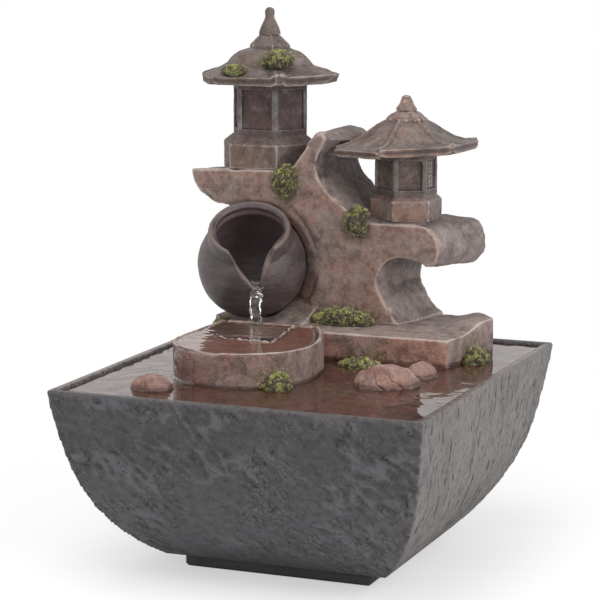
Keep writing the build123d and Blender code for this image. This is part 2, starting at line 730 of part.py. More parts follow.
# Tall lantern
tall_base_part = lantern_base(tall_x, tall_y, tall_turn, rock_base_z + tall_seat_share * rock_height,
                              tall_base_top_z, tall_base_radius, tall_flare_height, tall_body_radius)
with BuildPart() as tall_base:
    add(tall_base_part)
    add(rock_wall.part, mode=Mode.SUBTRACT)
tall_base.part.label = "tall_base"
export_step(tall_base.part, "parts/tall_base.step")
tall_pieces = {
    "tall_body": lantern_body(tall_x, tall_y, tall_turn, tall_body_z, tall_body_height,
                              tall_body_radius, None),
    "tall_roof": lantern_roof(tall_x, tall_y, tall_turn, tall_roof_z, tall_roof_radius,
                              tall_roof_height, tall_eave, tall_slope_shares),
    "tall_cap": lantern_cap(tall_x, tall_y, tall_turn, tall_cap_z, tall_cap_radius, tall_cap_height,
                            tall_finial_radius),
    "tall_finial": lantern_finial(tall_x, tall_y, tall_cap_z + tall_cap_height, tall_finial_radius,
                                  tall_finial_height),
}

# Small lantern, a corner to the front
small_base_part = lantern_base(small_x, small_y, small_turn,
                               rock_base_z + small_seat_share * rock_height, small_base_top_z,
                               small_base_radius, small_flare_height, small_body_radius)
with BuildPart() as small_base:
    add(small_base_part)
    add(rock_wall.part, mode=Mode.SUBTRACT)
small_base.part.label = "small_base"
export_step(small_base.part, "parts/small_base.step")
small_pieces = {
    "small_body": lantern_body(small_x, small_y, small_turn, small_body_z, small_body_height,
                               small_body_radius, lantern_sides - 1),
    "small_roof": lantern_roof(small_x, small_y, small_turn, small_roof_z, small_roof_radius,
                               small_roof_height, small_eave, small_slope_shares),
    "small_cap": lantern_cap(small_x, small_y, small_turn, small_cap_z, small_cap_radius,
                             small_cap_height, small_finial_radius),
    "small_finial": lantern_finial(small_x, small_y, small_cap_z + small_cap_height,
                                   small_finial_radius, small_finial_height),
}
for label, piece in (tall_pieces | small_pieces).items():
    piece.label = label
    export_step(piece, f"parts/{label}.step")

# Pebbles that stand on the deck
for label, (x_share, y_share) in pebble_place_shares.items():
    half_length, half_width, height = [pebble_size * share for share in pebble_form_shares[label]]
    with BuildPart() as pebble:
        Sphere(half_length)
        scale(by=(1, half_width / half_length, height / half_length))
        with BuildSketch():
            Rectangle(4 * half_length, 4 * half_length)
        extrude(amount=-2 * half_length, mode=Mode.SUBTRACT)
    pebble_at = Location((x_share * bowl_width / 2, y_share * bowl_depth / 2, deck_top_z),
                         (0, 0, 360 * pebble_turn_shares[label])) * pebble.part
    pebble_at.label = label
    export_step(pebble_at, f"parts/{label}.step")

# Moss clumps, trimmed to what they grow on. What grows at the rock ends in its front plane.
moss_beds = [
    (moss_roof_shares, (tall_x, tall_y, tall_roof_z),
     (tall_roof_radius, tall_roof_radius, tall_roof_height)),
    (moss_rock_shares, (rock_left, rock_front_y, rock_base_z), (rock_width, rock_depth, rock_height)),
    (moss_step_shares, (-step_left_half, step_front_y, deck_top_z),
     (step_left_half + step_right_half, step_depth, step_height)),
    (moss_pot_shares, (pot_x, pot_y, step_top_z), (pot_radius, pot_radius, pot_radius)),
    (moss_pool_shares, (pool_x, pool_y, deck_top_z), (pool_radius, pool_radius, pool_height)),
]
moss_hosts = [pot_cradle.part, step_slab.part, pool_dish.part, pot.part, tall_pieces["tall_roof"],
              tall_base.part, basin.part]
for clump_shares, bed_origin, bed_size in moss_beds:
    for label, (place_shares, form_shares) in clump_shares.items():
        middle = [start + share * size
                  for start, share, size in zip(bed_origin, place_shares, bed_size)]
        half_x, half_y, half_z = [moss_size * share for share in form_shares]
        with BuildPart() as clump:
            Sphere(half_x)
            scale(by=(1, half_y / half_x, half_z / half_x))
        clump_at = Location(tuple(middle)) * clump.part
        with BuildPart() as moss:
            add(clump_at)
            with BuildSketch(Plane.XY.offset(deck_top_z)):
                Rectangle(2 * bowl_width, 2 * bowl_depth)
            extrude(amount=-bowl_height, mode=Mode.SUBTRACT)
            if clump_shares is moss_rock_shares:
                with BuildSketch(Plane.XZ.offset(-rock_front_y)):
                    with Locations((0, rock_base_z + rock_height)):
                        Rectangle(2 * bowl_width, 2 * rock_height)
                extrude(amount=-rock_depth, mode=Mode.SUBTRACT)
            for host in moss_hosts:
                add(host, mode=Mode.SUBTRACT)
        moss.part.label = label
        export_step(moss.part, f"parts/{label}.step")

# Pump housing: wet chamber and rotor well at the back, motor pocket at the front, nozzle on top
axis_plane = Plane(origin=(pump_x, pump_front_y, pump_axis_z), x_dir=(1, 0, 0), z_dir=(0, 1, 0))
chamber_y = pump_length - chamber_depth
pocket_depth = chamber_y - pump_wall
with BuildPart() as pump_housing:
    with BuildSketch(axis_plane):
        RectangleRounded(pump_width, pump_height, pump_corner)
    extrude(amount=pump_length)
    with BuildSketch(Plane((nozzle_x, nozzle_y, pump_top_z))):
        Circle(nozzle_radius)
    extrude(amount=nozzle_height)
    with BuildSketch(axis_plane):
        RectangleRounded(pump_width - 2 * pump_wall, pump_height - 2 * pump_wall, pump_wall)
    extrude(amount=pocket_depth, mode=Mode.SUBTRACT)
    with BuildSketch(axis_plane.offset(chamber_y - well_depth - well_wall)):
        Circle(well_radius + well_wall)
    extrude(amount=well_depth + well_wall)
    with BuildSketch(axis_plane.offset(chamber_y - well_depth)):
        Circle(well_radius)
    extrude(amount=well_depth, mode=Mode.SUBTRACT)
    with BuildSketch(axis_plane.offset(chamber_y)):
        Circle(chamber_radius)
    extrude(amount=chamber_depth, mode=Mode.SUBTRACT)
    with BuildSketch(Plane((nozzle_x, nozzle_y, pump_axis_z))):
        Circle(nozzle_bore_radius)
    extrude(amount=pump_height / 2 + nozzle_height, mode=Mode.SUBTRACT)
pump_housing.part.label = "pump_housing"
export_step(pump_housing.part, "parts/pump_housing.step")

with BuildPart() as motor_core:
    with BuildSketch(axis_plane.offset(potting_thickness + fit_gap)):
        RectangleRounded(pump_width - 2 * pump_wall - 2 * fit_gap, pump_height - 2 * pump_wall - 2 * fit_gap,
                         pump_wall)
        Circle(well_radius + well_wall + fit_gap, mode=Mode.SUBTRACT)
    extrude(amount=pocket_depth - potting_thickness - 2 * fit_gap)
motor_core.part.label = "motor_core"
export_step(motor_core.part, "parts/motor_core.step")

with BuildPart() as potting_cap:
    with BuildSketch(axis_plane):
        RectangleRounded(pump_width - 2 * pump_wall, pump_height - 2 * pump_wall, pump_wall)
        with Locations((gland_offset_x, 0)):
            Circle(gland_tip_radius, mode=Mode.SUBTRACT)
    extrude(amount=potting_thickness)
potting_cap.part.label = "potting_cap"
export_step(potting_cap.part, "parts/potting_cap.step")

with BuildPart() as cable_gland:
    with BuildSketch(axis_plane):
        with Locations((gland_offset_x, 0)):
            Circle(gland_tip_radius)
    extrude(amount=potting_thickness)
    with BuildSketch(axis_plane):
        with Locations((gland_offset_x, 0)):
            Circle(gland_radius)
    extrude(amount=-gland_length / 2)
    with BuildSketch(axis_plane.offset(-gland_length / 2)):
        with Locations((gland_offset_x, 0)):
            Circle(gland_radius)
    extrude(amount=-gland_length / 2, taper=gland_taper)
    with BuildSketch(axis_plane.offset(potting_thickness)):
        with Locations((gland_offset_x, 0)):
            Circle(gland_bore_radius)
    extrude(amount=-potting_thickness - gland_length, mode=Mode.SUBTRACT)
cable_gland.part.label = "cable_gland"
export_step(cable_gland.part, "parts/cable_gland.step")

# Wet rotor: fixed shaft in its bush, with a magnet and a bladed wheel that turn on it
well_floor = chamber_y - well_depth
with BuildPart() as shaft_bush:
    with BuildSketch(axis_plane.offset(well_floor)):
        Circle(bush_radius)
        Circle(shaft_radius, mode=Mode.SUBTRACT)
    extrude(amount=bush_length)
shaft_bush.part.label = "shaft_bush"
export_step(shaft_bush.part, "parts/shaft_bush.step")

wheel_y = chamber_y + fit_gap
wheel_height = wheel_disc + blade_height
with BuildPart() as impeller_shaft:
    with BuildSketch(axis_plane.offset(well_floor)):
        Circle(shaft_radius)
    extrude(amount=wheel_y + wheel_height - well_floor)
impeller_shaft.part.label = "impeller_shaft"
export_step(impeller_shaft.part, "parts/impeller_shaft.step")

with BuildPart() as rotor_magnet:
    with BuildSketch(axis_plane.offset(wheel_y - magnet_length)):
        Circle(magnet_radius)
        Circle(shaft_radius + running_gap, mode=Mode.SUBTRACT)
    extrude(amount=magnet_length)
rotor_magnet.part.label = "rotor_magnet"
export_step(rotor_magnet.part, "parts/rotor_magnet.step")

with BuildPart() as impeller_wheel:
    with BuildSketch(axis_plane.offset(wheel_y)):
        Circle(wheel_radius)
    extrude(amount=wheel_disc)
    with BuildSketch(axis_plane.offset(wheel_y)):
        Circle(wheel_hub_radius)
        with PolarLocations(wheel_radius / 2, blade_count):
            Rectangle(wheel_radius - wheel_disc, blade_thickness)
    extrude(amount=wheel_height)
    with BuildSketch(axis_plane.offset(wheel_y)):
        Circle(shaft_radius + running_gap)
    extrude(amount=wheel_height, mode=Mode.SUBTRACT)
impeller_wheel.part.label = "impeller_wheel"
export_step(impeller_wheel.part, "parts/impeller_wheel.step")

# Inlet side: fixed plate with the suction eye, pull-off strainer cover, foam and flow dial
with BuildPart() as volute_plate:
    with BuildSketch(axis_plane.offset(pump_length)):
        RectangleRounded(pump_width - 2 * plate_edge, pump_height - 2 * plate_edge, pump_corner)
        Circle(eye_radius, mode=Mode.SUBTRACT)
    extrude(amount=plate_thickness)
volute_plate.part.label = "volute_plate"
export_step(volute_plate.part, "parts/volute_plate.step")

cover_y = pump_length + plate_thickness
face_y = cover_y + cover_depth
with BuildPart() as strainer_cover:
    with BuildSketch(axis_plane.offset(cover_y)):
        RectangleRounded(pump_width, pump_height, pump_corner)
    extrude(amount=cover_depth)
    with BuildSketch(axis_plane.offset(cover_y)):
        RectangleRounded(pump_width - 2 * cover_wall, pump_height - 2 * cover_wall,
                         pump_corner - cover_wall)
    extrude(amount=cover_depth - cover_wall, mode=Mode.SUBTRACT)
    with BuildSketch(axis_plane.offset(face_y)):
        Circle(dial_pin_radius)
    extrude(amount=dial_thickness + fit_gap)
    with BuildSketch(axis_plane.offset(face_y + dial_thickness + fit_gap)):
        Circle(dial_head_radius)
    extrude(amount=dial_head_thickness)
    with BuildSketch(axis_plane.offset(face_y)):
        with Locations((-grille_side_offset, 0), (grille_side_offset, 0)):
            with GridLocations(grille_slot_pitch, 0, grille_slot_count, 1):
                SlotOverall(pump_height - 4 * cover_wall, grille_slot_width, rotation=90)
        with PolarLocations(port_offset, 2):
            Circle(port_radius)
    extrude(amount=-cover_wall, mode=Mode.SUBTRACT)
strainer_cover.part.label = "strainer_cover"
export_step(strainer_cover.part, "parts/strainer_cover.step")

with BuildPart() as filter_sponge:
    with BuildSketch(axis_plane.offset(cover_y + fit_gap)):
        Rectangle(pump_width - 2 * cover_wall - 2 * pump_corner, pump_height - 2 * cover_wall - 2 * fit_gap)
    extrude(amount=cover_depth - cover_wall - 2 * fit_gap)
filter_sponge.part.label = "filter_sponge"
export_step(filter_sponge.part, "parts/filter_sponge.step")

with BuildPart() as flow_dial:
    with BuildSketch(axis_plane.offset(face_y + running_gap)):
        Circle(dial_radius)
    extrude(amount=dial_thickness)
    with BuildSketch(axis_plane.offset(face_y + running_gap + dial_thickness)):
        with Locations((dial_grip_offset, 0), (-dial_grip_offset, 0)):
            Rectangle(dial_grip_length, dial_grip_width)
    extrude(amount=dial_grip_height)
    with BuildSketch(axis_plane.offset(face_y + running_gap)):
        Circle(dial_pin_radius + running_gap)
        with PolarLocations(port_offset, 2, start_angle=90):
            Circle(port_radius)
    extrude(amount=dial_thickness, mode=Mode.SUBTRACT)
flow_dial.part.label = "flow_dial"
export_step(flow_dial.part, "parts/flow_dial.step")

# Suction cups under the pump
with BuildPart() as suction_cups:
    with Locations((pump_x, pump_front_y + pump_length / 2, floor_z)):
        with GridLocations(cup_spacing_x, cup_spacing_y, 2, 2):
            Cone(cup_radius, cup_stem_radius, cup_height / 2,
                 align=(Align.CENTER, Align.CENTER, Align.MIN))
            Cylinder(cup_stem_radius, cup_height, align=(Align.CENTER, Align.CENTER, Align.MIN))
suction_cups.part.label = "suction_cups"
export_step(suction_cups.part, "parts/suction_cups.step")
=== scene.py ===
# %% [markdown]
# # A tabletop fountain, dressed for its portrait
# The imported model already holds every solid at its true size. This lesson gives each one the
# surface of the real object: cast resin that imitates sandstone and slate, a clay pot, flocked
# moss and clear water. Every piece stays where the model has it and moves with the same body.

# %% Load the frame
import random
from math import atan2, cos, degrees, hypot, pi, radians, sin, tan

import bmesh
import bpy
import numpy as np
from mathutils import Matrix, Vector, noise


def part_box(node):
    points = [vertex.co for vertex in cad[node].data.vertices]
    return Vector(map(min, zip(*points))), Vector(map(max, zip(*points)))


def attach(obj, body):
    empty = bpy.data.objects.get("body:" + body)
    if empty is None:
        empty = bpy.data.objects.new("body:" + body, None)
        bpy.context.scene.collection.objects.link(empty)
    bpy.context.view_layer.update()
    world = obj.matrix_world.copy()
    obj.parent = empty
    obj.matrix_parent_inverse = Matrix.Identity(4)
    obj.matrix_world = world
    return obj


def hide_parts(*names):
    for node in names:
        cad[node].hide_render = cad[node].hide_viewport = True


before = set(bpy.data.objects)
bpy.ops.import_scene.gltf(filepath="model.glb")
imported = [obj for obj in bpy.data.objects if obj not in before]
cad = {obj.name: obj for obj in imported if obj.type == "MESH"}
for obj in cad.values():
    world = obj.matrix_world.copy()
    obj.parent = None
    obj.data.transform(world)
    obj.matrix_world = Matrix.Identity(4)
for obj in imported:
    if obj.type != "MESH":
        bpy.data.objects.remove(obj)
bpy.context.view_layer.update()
MM = 0.001
bpy.ops.object.select_all(action="DESELECT")

# %% [markdown]
# ## Camera, floor and light
# The view was solved from the corners of the bowl: a long lens, a little above the rim and to the
# right of the front. Floor and surroundings are pale, and three soft boxes light the object. One of
# the strongest stands on the right, which is why the right side of the bowl looks lighter; the
# bowl's finish also paints its flanks lighter than its front.

# %% Camera
view_aim = Vector((-7.11, 0.0, 136.49)) * MM
view_distance = 1247.3 * MM
view_azimuth = radians(22.05)
view_elevation = radians(9.76)
view_offset = Vector((sin(view_azimuth) * cos(view_elevation),
                      -cos(view_azimuth) * cos(view_elevation), sin(view_elevation)))
bpy.ops.object.camera_add(location=view_aim + view_distance * view_offset)
camera = bpy.context.object
camera.rotation_euler = (-view_offset).to_track_quat("-Z", "Y").to_euler()
camera.data.sensor_width = 36.0
camera.data.lens = 142.25
camera.data.clip_start = 0.01
bpy.context.scene.camera = camera
print("camera at", [round(value, 3) for value in camera.location])


# %% Small helpers for node trees
def srgb(red, green, blue):
    """A colour as seen on screen, 0 to 255 each, turned into the linear values that shaders use."""
    channels = [value / 255 for value in (red, green, blue)]
    return tuple(c / 12.92 if c < 0.04045 else ((c + 0.055) / 1.055) ** 2.4 for c in channels) + (1.0,)


def add_node(tree, kind, inputs=None, **settings):
    """A new node with its settings and its inputs, each a value or the socket that feeds it."""
    node = tree.nodes.new("ShaderNode" + kind)
    for name, value in settings.items():
        setattr(node, name, value)
    for key, value in (inputs or {}).items():
        if isinstance(value, bpy.types.NodeSocket):
            tree.links.new(value, node.inputs[key])
        else:
            node.inputs[key].default_value = value
    return node


def calc(tree, operation, first, second=0.0):
    """Arithmetic on two numbers or sockets."""
    return add_node(tree, "Math", {0: first, 1: second}, operation=operation).outputs[0]


def times(tree, first, second):
    """The product of two numbers or sockets."""
    return calc(tree, "MULTIPLY", first, second)


def band(tree, value, low, high, start=0.0, end=1.0):
    """Values from low to high become start to end, softly, and stay there outside."""
    return add_node(tree, "MapRange", {"Value": value, "From Min": low, "From Max": high,
                                       "To Min": start, "To Max": end},
                    interpolation_type="SMOOTHSTEP").outputs[0]


def mix(tree, factor, first, second, mode="MIX"):
    """The first colour at factor 0, the second at factor 1."""
    return add_node(tree, "Mix", {0: factor, 6: first, 7: second}, data_type="RGBA",
                    blend_type=mode).outputs[2]


def mix_number(tree, factor, first, second):
    """The first number at factor 0, the second at factor 1."""
    return add_node(tree, "Mix", {0: factor, 2: first, 3: second}, data_type="FLOAT").outputs[0]


def lay(tree, under, over, value, low, high, start=0.0, end=1.0):
    """Lays one colour over another, as strongly as the band of a value says."""
    return mix(tree, band(tree, value, low, high, start, end), under, over)


def tinted(tree, colour, tint):
    """A colour seen through a coat of another."""
    return mix(tree, 1.0, colour, tint, "MULTIPLY")


def noise_value(tree, vector, scale, detail=4.0, roughness=0.55, distortion=0.0):
    """A cloudy pattern with values from 0 to 1, so many clouds to a metre."""
    return add_node(tree, "TexNoise", {"Vector": vector, "Scale": scale, "Detail": detail,
                                       "Roughness": roughness, "Distortion": distortion}).outputs[0]


def streaks(tree, place, scale, turn, detail, roughness, distortion):
    """A cloudy pattern on coordinates that are turned, then squeezed along some axes."""
    turned = add_node(tree, "Mapping", {"Vector": place, "Rotation": turn}).outputs[0]
    squeezed = add_node(tree, "Mapping", {"Vector": turned, "Scale": scale}).outputs[0]
    return noise_value(tree, squeezed, 1.0, detail, roughness, distortion)


def new_group(name, inputs, outputs):
    """An empty shader node group with its named sockets."""
    tree = bpy.data.node_groups.new(name, "ShaderNodeTree")
    for label, kind, value in inputs:
        tree.interface.new_socket(label, in_out="INPUT", socket_type=kind).default_value = value
    for label, kind in outputs:
        tree.interface.new_socket(label, in_out="OUTPUT", socket_type=kind)
    return tree, tree.nodes.new("NodeGroupInput"), tree.nodes.new("NodeGroupOutput")


def new_material(name, **sockets):
    """A material with its Principled shader, whose plain numbers are set on its own sockets."""
    material = bpy.data.materials.new(name)
    material.use_nodes = True
    shader = material.node_tree.nodes["Principled BSDF"]
    for key, value in sockets.items():
        shader.inputs[key.replace("_", " ")].default_value = value
    return material, material.node_tree, shader


def give(tree, node, **sockets):
    """Links sockets to the inputs of a node that have their names."""
    for key, socket in sockets.items():
        tree.links.new(socket, node.inputs[key.replace("_", " ")])


def relief(tree, shader, height, distance):
    """Feeds a height map to the shader's normal through a Bump node."""
    bump = add_node(tree, "Bump", {"Height": height, "Distance": distance, "Strength": 1.0})
    give(tree, shader, Normal=bump.outputs["Normal"])


# %% Floor, surroundings and lamps
WHITE = (1.0, 1.0, 1.0, 1.0)
floor_size = 9.0
bpy.ops.mesh.primitive_plane_add(size=floor_size)
floor = bpy.context.object
floor.name = "floor"
floor_paint, tree, shader = new_material("pale floor", Base_Color=srgb(250, 249, 248), Roughness=0.9)
floor.data.materials.append(floor_paint)
paper = add_node(tree, "Emission", {"Color": WHITE, "Strength": 1.0})
spot = add_node(tree, "TexCoord").outputs["Object"]
from_middle = add_node(tree, "VectorMath", {0: spot}, operation="LENGTH").outputs["Value"]
away = band(tree, from_middle, 0.1, 0.34, 0.5, 1.0)
seen = times(tree, away, add_node(tree, "LightPath").outputs["Is Camera Ray"])
faded = add_node(tree, "MixShader", {0: seen, 1: shader.outputs[0], 2: paper.outputs[0]})
tree.links.new(faded.outputs[0], tree.nodes["Material Output"].inputs["Surface"])

world = bpy.data.worlds.new("pale studio")
bpy.context.scene.world = world
world.use_nodes = True
tree = world.node_tree
paths = add_node(tree, "LightPath")
seen = calc(tree, "MAXIMUM", paths.outputs["Is Camera Ray"],
            calc(tree, "MAXIMUM", paths.outputs["Is Glossy Ray"], paths.outputs["Is Transmission Ray"]))
background = tree.nodes["Background"]
background.inputs["Color"].default_value = WHITE
tree.links.new(band(tree, seen, 0.0, 1.0, 0.62, 1.0), background.inputs["Strength"])


lamp_aim = Vector((0, 0, 0.12))


def soft_box(name, place, size, power):
    """A square lamp at place, aimed at the middle of the fountain."""
    bpy.ops.object.light_add(type="AREA", location=place)
    lamp = bpy.context.object
    lamp.name = name
    lamp.data.size = size
    lamp.data.energy = power
    lamp.rotation_euler = (Vector(place) - lamp_aim).to_track_quat("Z", "Y").to_euler()
    print(name, "at", place)


soft_box("right box", (1.1, -0.25, 0.55), 0.8, 9.0)
soft_box("top box", (-0.15, -0.35, 1.3), 0.9, 9.0)
soft_box("front box", (-0.6, -1.3, 0.5), 0.8, 2.5)
bpy.context.scene.view_settings.view_transform = "Standard"

# %% [markdown]
# ## Shared finishes
# The scenery is resin with stone powder, sprayed in two tones and wiped with a pale paint that
# stays on the ridges. That is one effect on many pieces, so it is one node group, which also paints
# shade into the hollows. It reads masks that are stored on each mesh: where it is convex, where it
# is hollow, how far it faces the front, and on some pieces where it is soaked, stained by moss or
# part of a post.


# %% Node group: wiped resin stone
def mask(tree, name):
    """A mask that was measured on the mesh, 0 where the mesh has none."""
    return add_node(tree, "Attribute", attribute_name=name).outputs["Fac"]


def build_stone_group():
    """Two sprayed tones, a dark wash that is also painted shade in the hollows, and a pale wipe, steered
    by the masks on the mesh.
    """
    colour, number = "NodeSocketColor", "NodeSocketFloat"
    tree, given, result = new_group(
        "Wiped resin stone",
        [("Warm", colour, WHITE), ("Cool", colour, WHITE), ("Pale", colour, WHITE),
         ("Dark", colour, WHITE), ("Cool Share", number, 0.5), ("Wear", number, 1.0),
         ("Speckle", number, 1.0)],
        [("Color", colour), ("Roughness", number), ("Height", number)])
    warm, cool, pale, dark, cool_share, worn, speckle = given.outputs[:7]
    place = add_node(tree, "TexCoord").outputs["Object"]
    clouds = noise_value(tree, place, 42.0, 5.0, 0.6)
    blotches = noise_value(tree, place, 72.0, 5.0, 0.62, 0.4)
    patches = noise_value(tree, place, 130.0, 6.0, 0.66, 0.3)
    brushed = streaks(tree, place, (430.0, 430.0, 290.0), (0.0, 0.0, 0.0), 5.0, 0.66, 0.3)
    grain = noise_value(tree, place, 1000.0, 3.0, 0.7)
    sand = noise_value(tree, place, 2100.0, 2.0, 0.6)
    # Cool tone where the surface turns away from the front, and in cloudy patches of the rest.
    towards = calc(tree, "ADD", mask(tree, "facing"), times(tree, clouds, 0.4))
    turned = times(tree, band(tree, towards, 0.5, 1.0, 1.0, 0.0), cool_share)
    body = mix(tree, calc(tree, "MAXIMUM", turned, band(tree, clouds, 0.44, 0.64, 0.0, 0.6)), warm, cool)
    # Blotches of a second spray, sponged patches and brush marks, darker, warmer or paler.
    body = lay(tree, body, tinted(tree, body, srgb(255, 232, 216)), blotches, 0.34, 0.48, 0.7, 0.0)
    darker = tinted(tree, body, srgb(170, 158, 155))
    body = lay(tree, body, darker, blotches, 0.5, 0.64, 0.0, 0.7)
    body = lay(tree, body, darker, patches, 0.48, 0.7, 0.0, 0.85)
    body = lay(tree, body, pale, patches, 0.3, 0.47, 0.22, 0.0)
    body = lay(tree, body, darker, brushed, 0.52, 0.68, 0.0, 0.5)
    body = lay(tree, body, pale, brushed, 0.32, 0.45, 0.16, 0.0)
    # Soaked resin in the pool, grey posts on the lanterns, and the stain around each clump of moss.
    soaked = times(tree, mask(tree, "soaked"), 0.8)
    body = mix(tree, soaked, body, mix(tree, patches, srgb(160, 100, 76), srgb(96, 66, 54)))
    post = times(tree, mask(tree, "post"), band(tree, patches, 0.38, 0.6, 0.9, 0.3))
    body = mix(tree, post, body, srgb(124, 124, 122))
    dust = lay(tree, srgb(104, 98, 48), srgb(58, 50, 36), grain, 0.4, 0.6)
    body = mix(tree, times(tree, mask(tree, "stain"), band(tree, brushed, 0.38, 0.6)), body, dust)
    # Sand grains, then a dark wash in the hollows that also stands for their painted shade, then what the
    # pale wipe left on the edges.
    body = mix(tree, times(tree, band(tree, grain, 0.55, 0.7, 0.0, 0.4), speckle), body, dark)
    body = mix(tree, times(tree, band(tree, sand, 0.64, 0.74, 0.0, 0.45), speckle), body, pale)
    body = lay(tree, body, dark, mask(tree, "hollow_shade"), 0.2, 0.9, 0.0, 0.7)
    salt = times(tree, band(tree, sand, 0.7, 0.76, 0.0, 0.6), speckle)
    body = mix(tree, salt, body, srgb(216, 206, 198))
    broken = calc(tree, "SUBTRACT", mask(tree, "edge"), times(tree, patches, 0.5))
    body = mix(tree, times(tree, band(tree, broken, 0.12, 0.6, 0.0, 0.62), worn), body, pale)
    height = calc(tree, "ADD", times(tree, grain, 0.7),
                  calc(tree, "ADD", patches, times(tree, brushed, 0.5)))
    rough = mix_number(tree, soaked, band(tree, grain, 0.3, 0.7, 0.58, 0.8), 0.12)
    give(tree, result, Color=body, Roughness=rough, Height=height)
    return tree


stone_group = build_stone_group()


# %% Node group: wet band above the water
def build_wet_group():
    """Darkens and glosses what lies just above the water, up to a wandering line."""
    colour, number = "NodeSocketColor", "NodeSocketFloat"
    tree, given, result = new_group(
        "Wet band",
        [("Color", colour, WHITE), ("Roughness", number, 0.6), ("Level", number, 0.1),
         ("Reach", number, 0.006)],
        [("Color", colour), ("Roughness", number)])
    dry, roughness, level, reach = given.outputs[:4]
    place = add_node(tree, "TexCoord").outputs["Object"]
    height = add_node(tree, "SeparateXYZ", {0: place}).outputs["Z"]
    wander = times(tree, noise_value(tree, place, 120.0, 3.0), reach)
    above = calc(tree, "SUBTRACT", calc(tree, "SUBTRACT", height, level), wander)
    wet = band(tree, calc(tree, "DIVIDE", above, reach), 0.0, 0.8, 1.0, 0.0)
    give(tree, result, Color=mix(tree, wet, dry, tinted(tree, dry, srgb(176, 158, 148))),
         Roughness=mix_number(tree, wet, roughness, 0.16))
    return tree


wet_group = build_wet_group()
print("finishes share", stone_group.name, "and", wet_group.name)


# %% Materials of the scenery
# Heights of the two large waters in millimetres.
basin_level, pool_level = 100.5, 117.95


def stone_material(name, tones, cool_share, wear, speckle, reach, bump=0.75):
    """Wiped stone in four tones, warm, cool, pale and dark, wet up to reach above the water."""
    warm, cool, pale, dark = (srgb(*tone) for tone in tones)
    material, tree, shader = new_material(name, IOR=1.5)
    look = add_node(tree, "Group", {"Warm": warm, "Cool": cool, "Pale": pale, "Dark": dark,
                                    "Cool Share": cool_share, "Wear": wear, "Speckle": speckle},
                    node_tree=stone_group)
    wet = add_node(tree, "Group", {"Color": look.outputs["Color"],
                                   "Roughness": look.outputs["Roughness"],
                                   "Level": basin_level * MM, "Reach": reach * MM},
                   node_tree=wet_group)
    give(tree, shader, Base_Color=wet.outputs["Color"], Roughness=wet.outputs["Roughness"])
    relief(tree, shader, look.outputs["Height"], bump * MM)
    return material


rock_stone = stone_material(
    "sandy rock", ((139, 112, 102), (117, 109, 107), (184, 170, 161), (64, 53, 50)), 0.85, 0.85, 0.6, 4)
step_stone = stone_material(
    "orange step", ((158, 118, 103), (134, 121, 117), (190, 178, 171), (70, 57, 53)), 0.9, 0.95, 0.7, 2.5)
tall_stone = stone_material(
    "tall lantern stone", ((104, 86, 79), (94, 86, 85), (170, 160, 153), (42, 34, 33)), 0.5, 0.85, 0.6, 5)
tall_panels = stone_material(
    "tall lantern panels", ((80, 63, 60), (72, 60, 60), (160, 158, 155), (38, 31, 32)), 0.4, 0.9, 0.6, 5)
small_stone = stone_material(
    "small lantern stone", ((134, 108, 97), (112, 104, 103), (184, 172, 164), (54, 45, 43)), 0.7, 0.95,
    0.6, 5)
small_tiles = stone_material(
    "small roof stone", ((120, 95, 85), (98, 92, 90), (178, 166, 158), (46, 38, 37)), 0.8, 0.75, 0.6, 5)
small_panels = stone_material(
    "small lantern panels", ((92, 75, 69), (84, 79, 80), (168, 162, 158), (30, 25, 25)), 0.6, 0.95, 0.6, 5)
pool_stone = stone_material(
    "pool stone", ((134, 106, 97), (118, 104, 101), (188, 176, 168), (66, 52, 48)), 0.6, 1.0, 1.0, 1.6,
    0.8)
pebble_stone = stone_material(
    "pebble stone", ((144, 110, 98), (126, 106, 100), (196, 176, 164), (70, 52, 47)), 0.5, 0.6, 0.9, 2.5)
print(len(bpy.data.materials), "materials so far")

# %% [markdown]
# ## Stone pieces
# A resin cast never has the sharp edges of a drawing: the mould rounds them, and the clay original
# left lumps. Each stone piece starts as a copy of its solid. A voxel remesh gives it an even skin,
# smoothing rounds the edges, and displacement adds lumps. The last step measures the masks that
# the stone finish reads. The helpers come first.


# %% Copy, remesh and weather
def pick(*objects):
    """Selects only these objects and makes the first one active."""
    bpy.ops.object.select_all(action="DESELECT")
    for each in objects:
        each.select_set(True)
    bpy.context.view_layer.objects.active = objects[0]


def new_object(name, data):
    """A new object with this data, unturned at the origin."""
    made = bpy.data.objects.new(name, data)
    bpy.context.scene.collection.objects.link(made)
    return made


def copy_of(name, *sources):
    """One new object from copies of CAD nodes or other objects, with doubled points merged."""
    copies = [new_object(name, (cad[source] if isinstance(source, str) else source).data.copy())
              for source in sources]
    pick(*copies)
    if len(copies) > 1:
        bpy.ops.object.join()
    piece = bpy.context.view_layer.objects.active
    piece.name = name
    piece.data.name = name
    piece.data.materials.clear()
    bpy.ops.object.mode_set(mode="EDIT")
    bpy.ops.mesh.select_all(action="SELECT")
    bpy.ops.mesh.remove_doubles(threshold=0.002 * MM)
    bpy.ops.object.mode_set(mode="OBJECT")
    return piece


def apply_modifier(piece, kind, **settings):
    """Adds a modifier with these settings and makes its result the mesh."""
    pick(piece)
    modifier = piece.modifiers.new(kind.lower(), kind)
    for key, value in settings.items():
        setattr(modifier, key, value)
    bpy.ops.object.modifier_apply(modifier=modifier.name)


def lumps(piece, size, strength):
    """Pushes the skin in and out by a cloudy texture of this size."""
    texture = bpy.data.textures.new(f"{piece.name} {size}", "CLOUDS")
    texture.noise_scale = size * MM
    texture.noise_depth = 2
    apply_modifier(piece, "DISPLACE", texture=texture, strength=strength * MM, mid_level=0.5,
                   texture_coords="LOCAL")


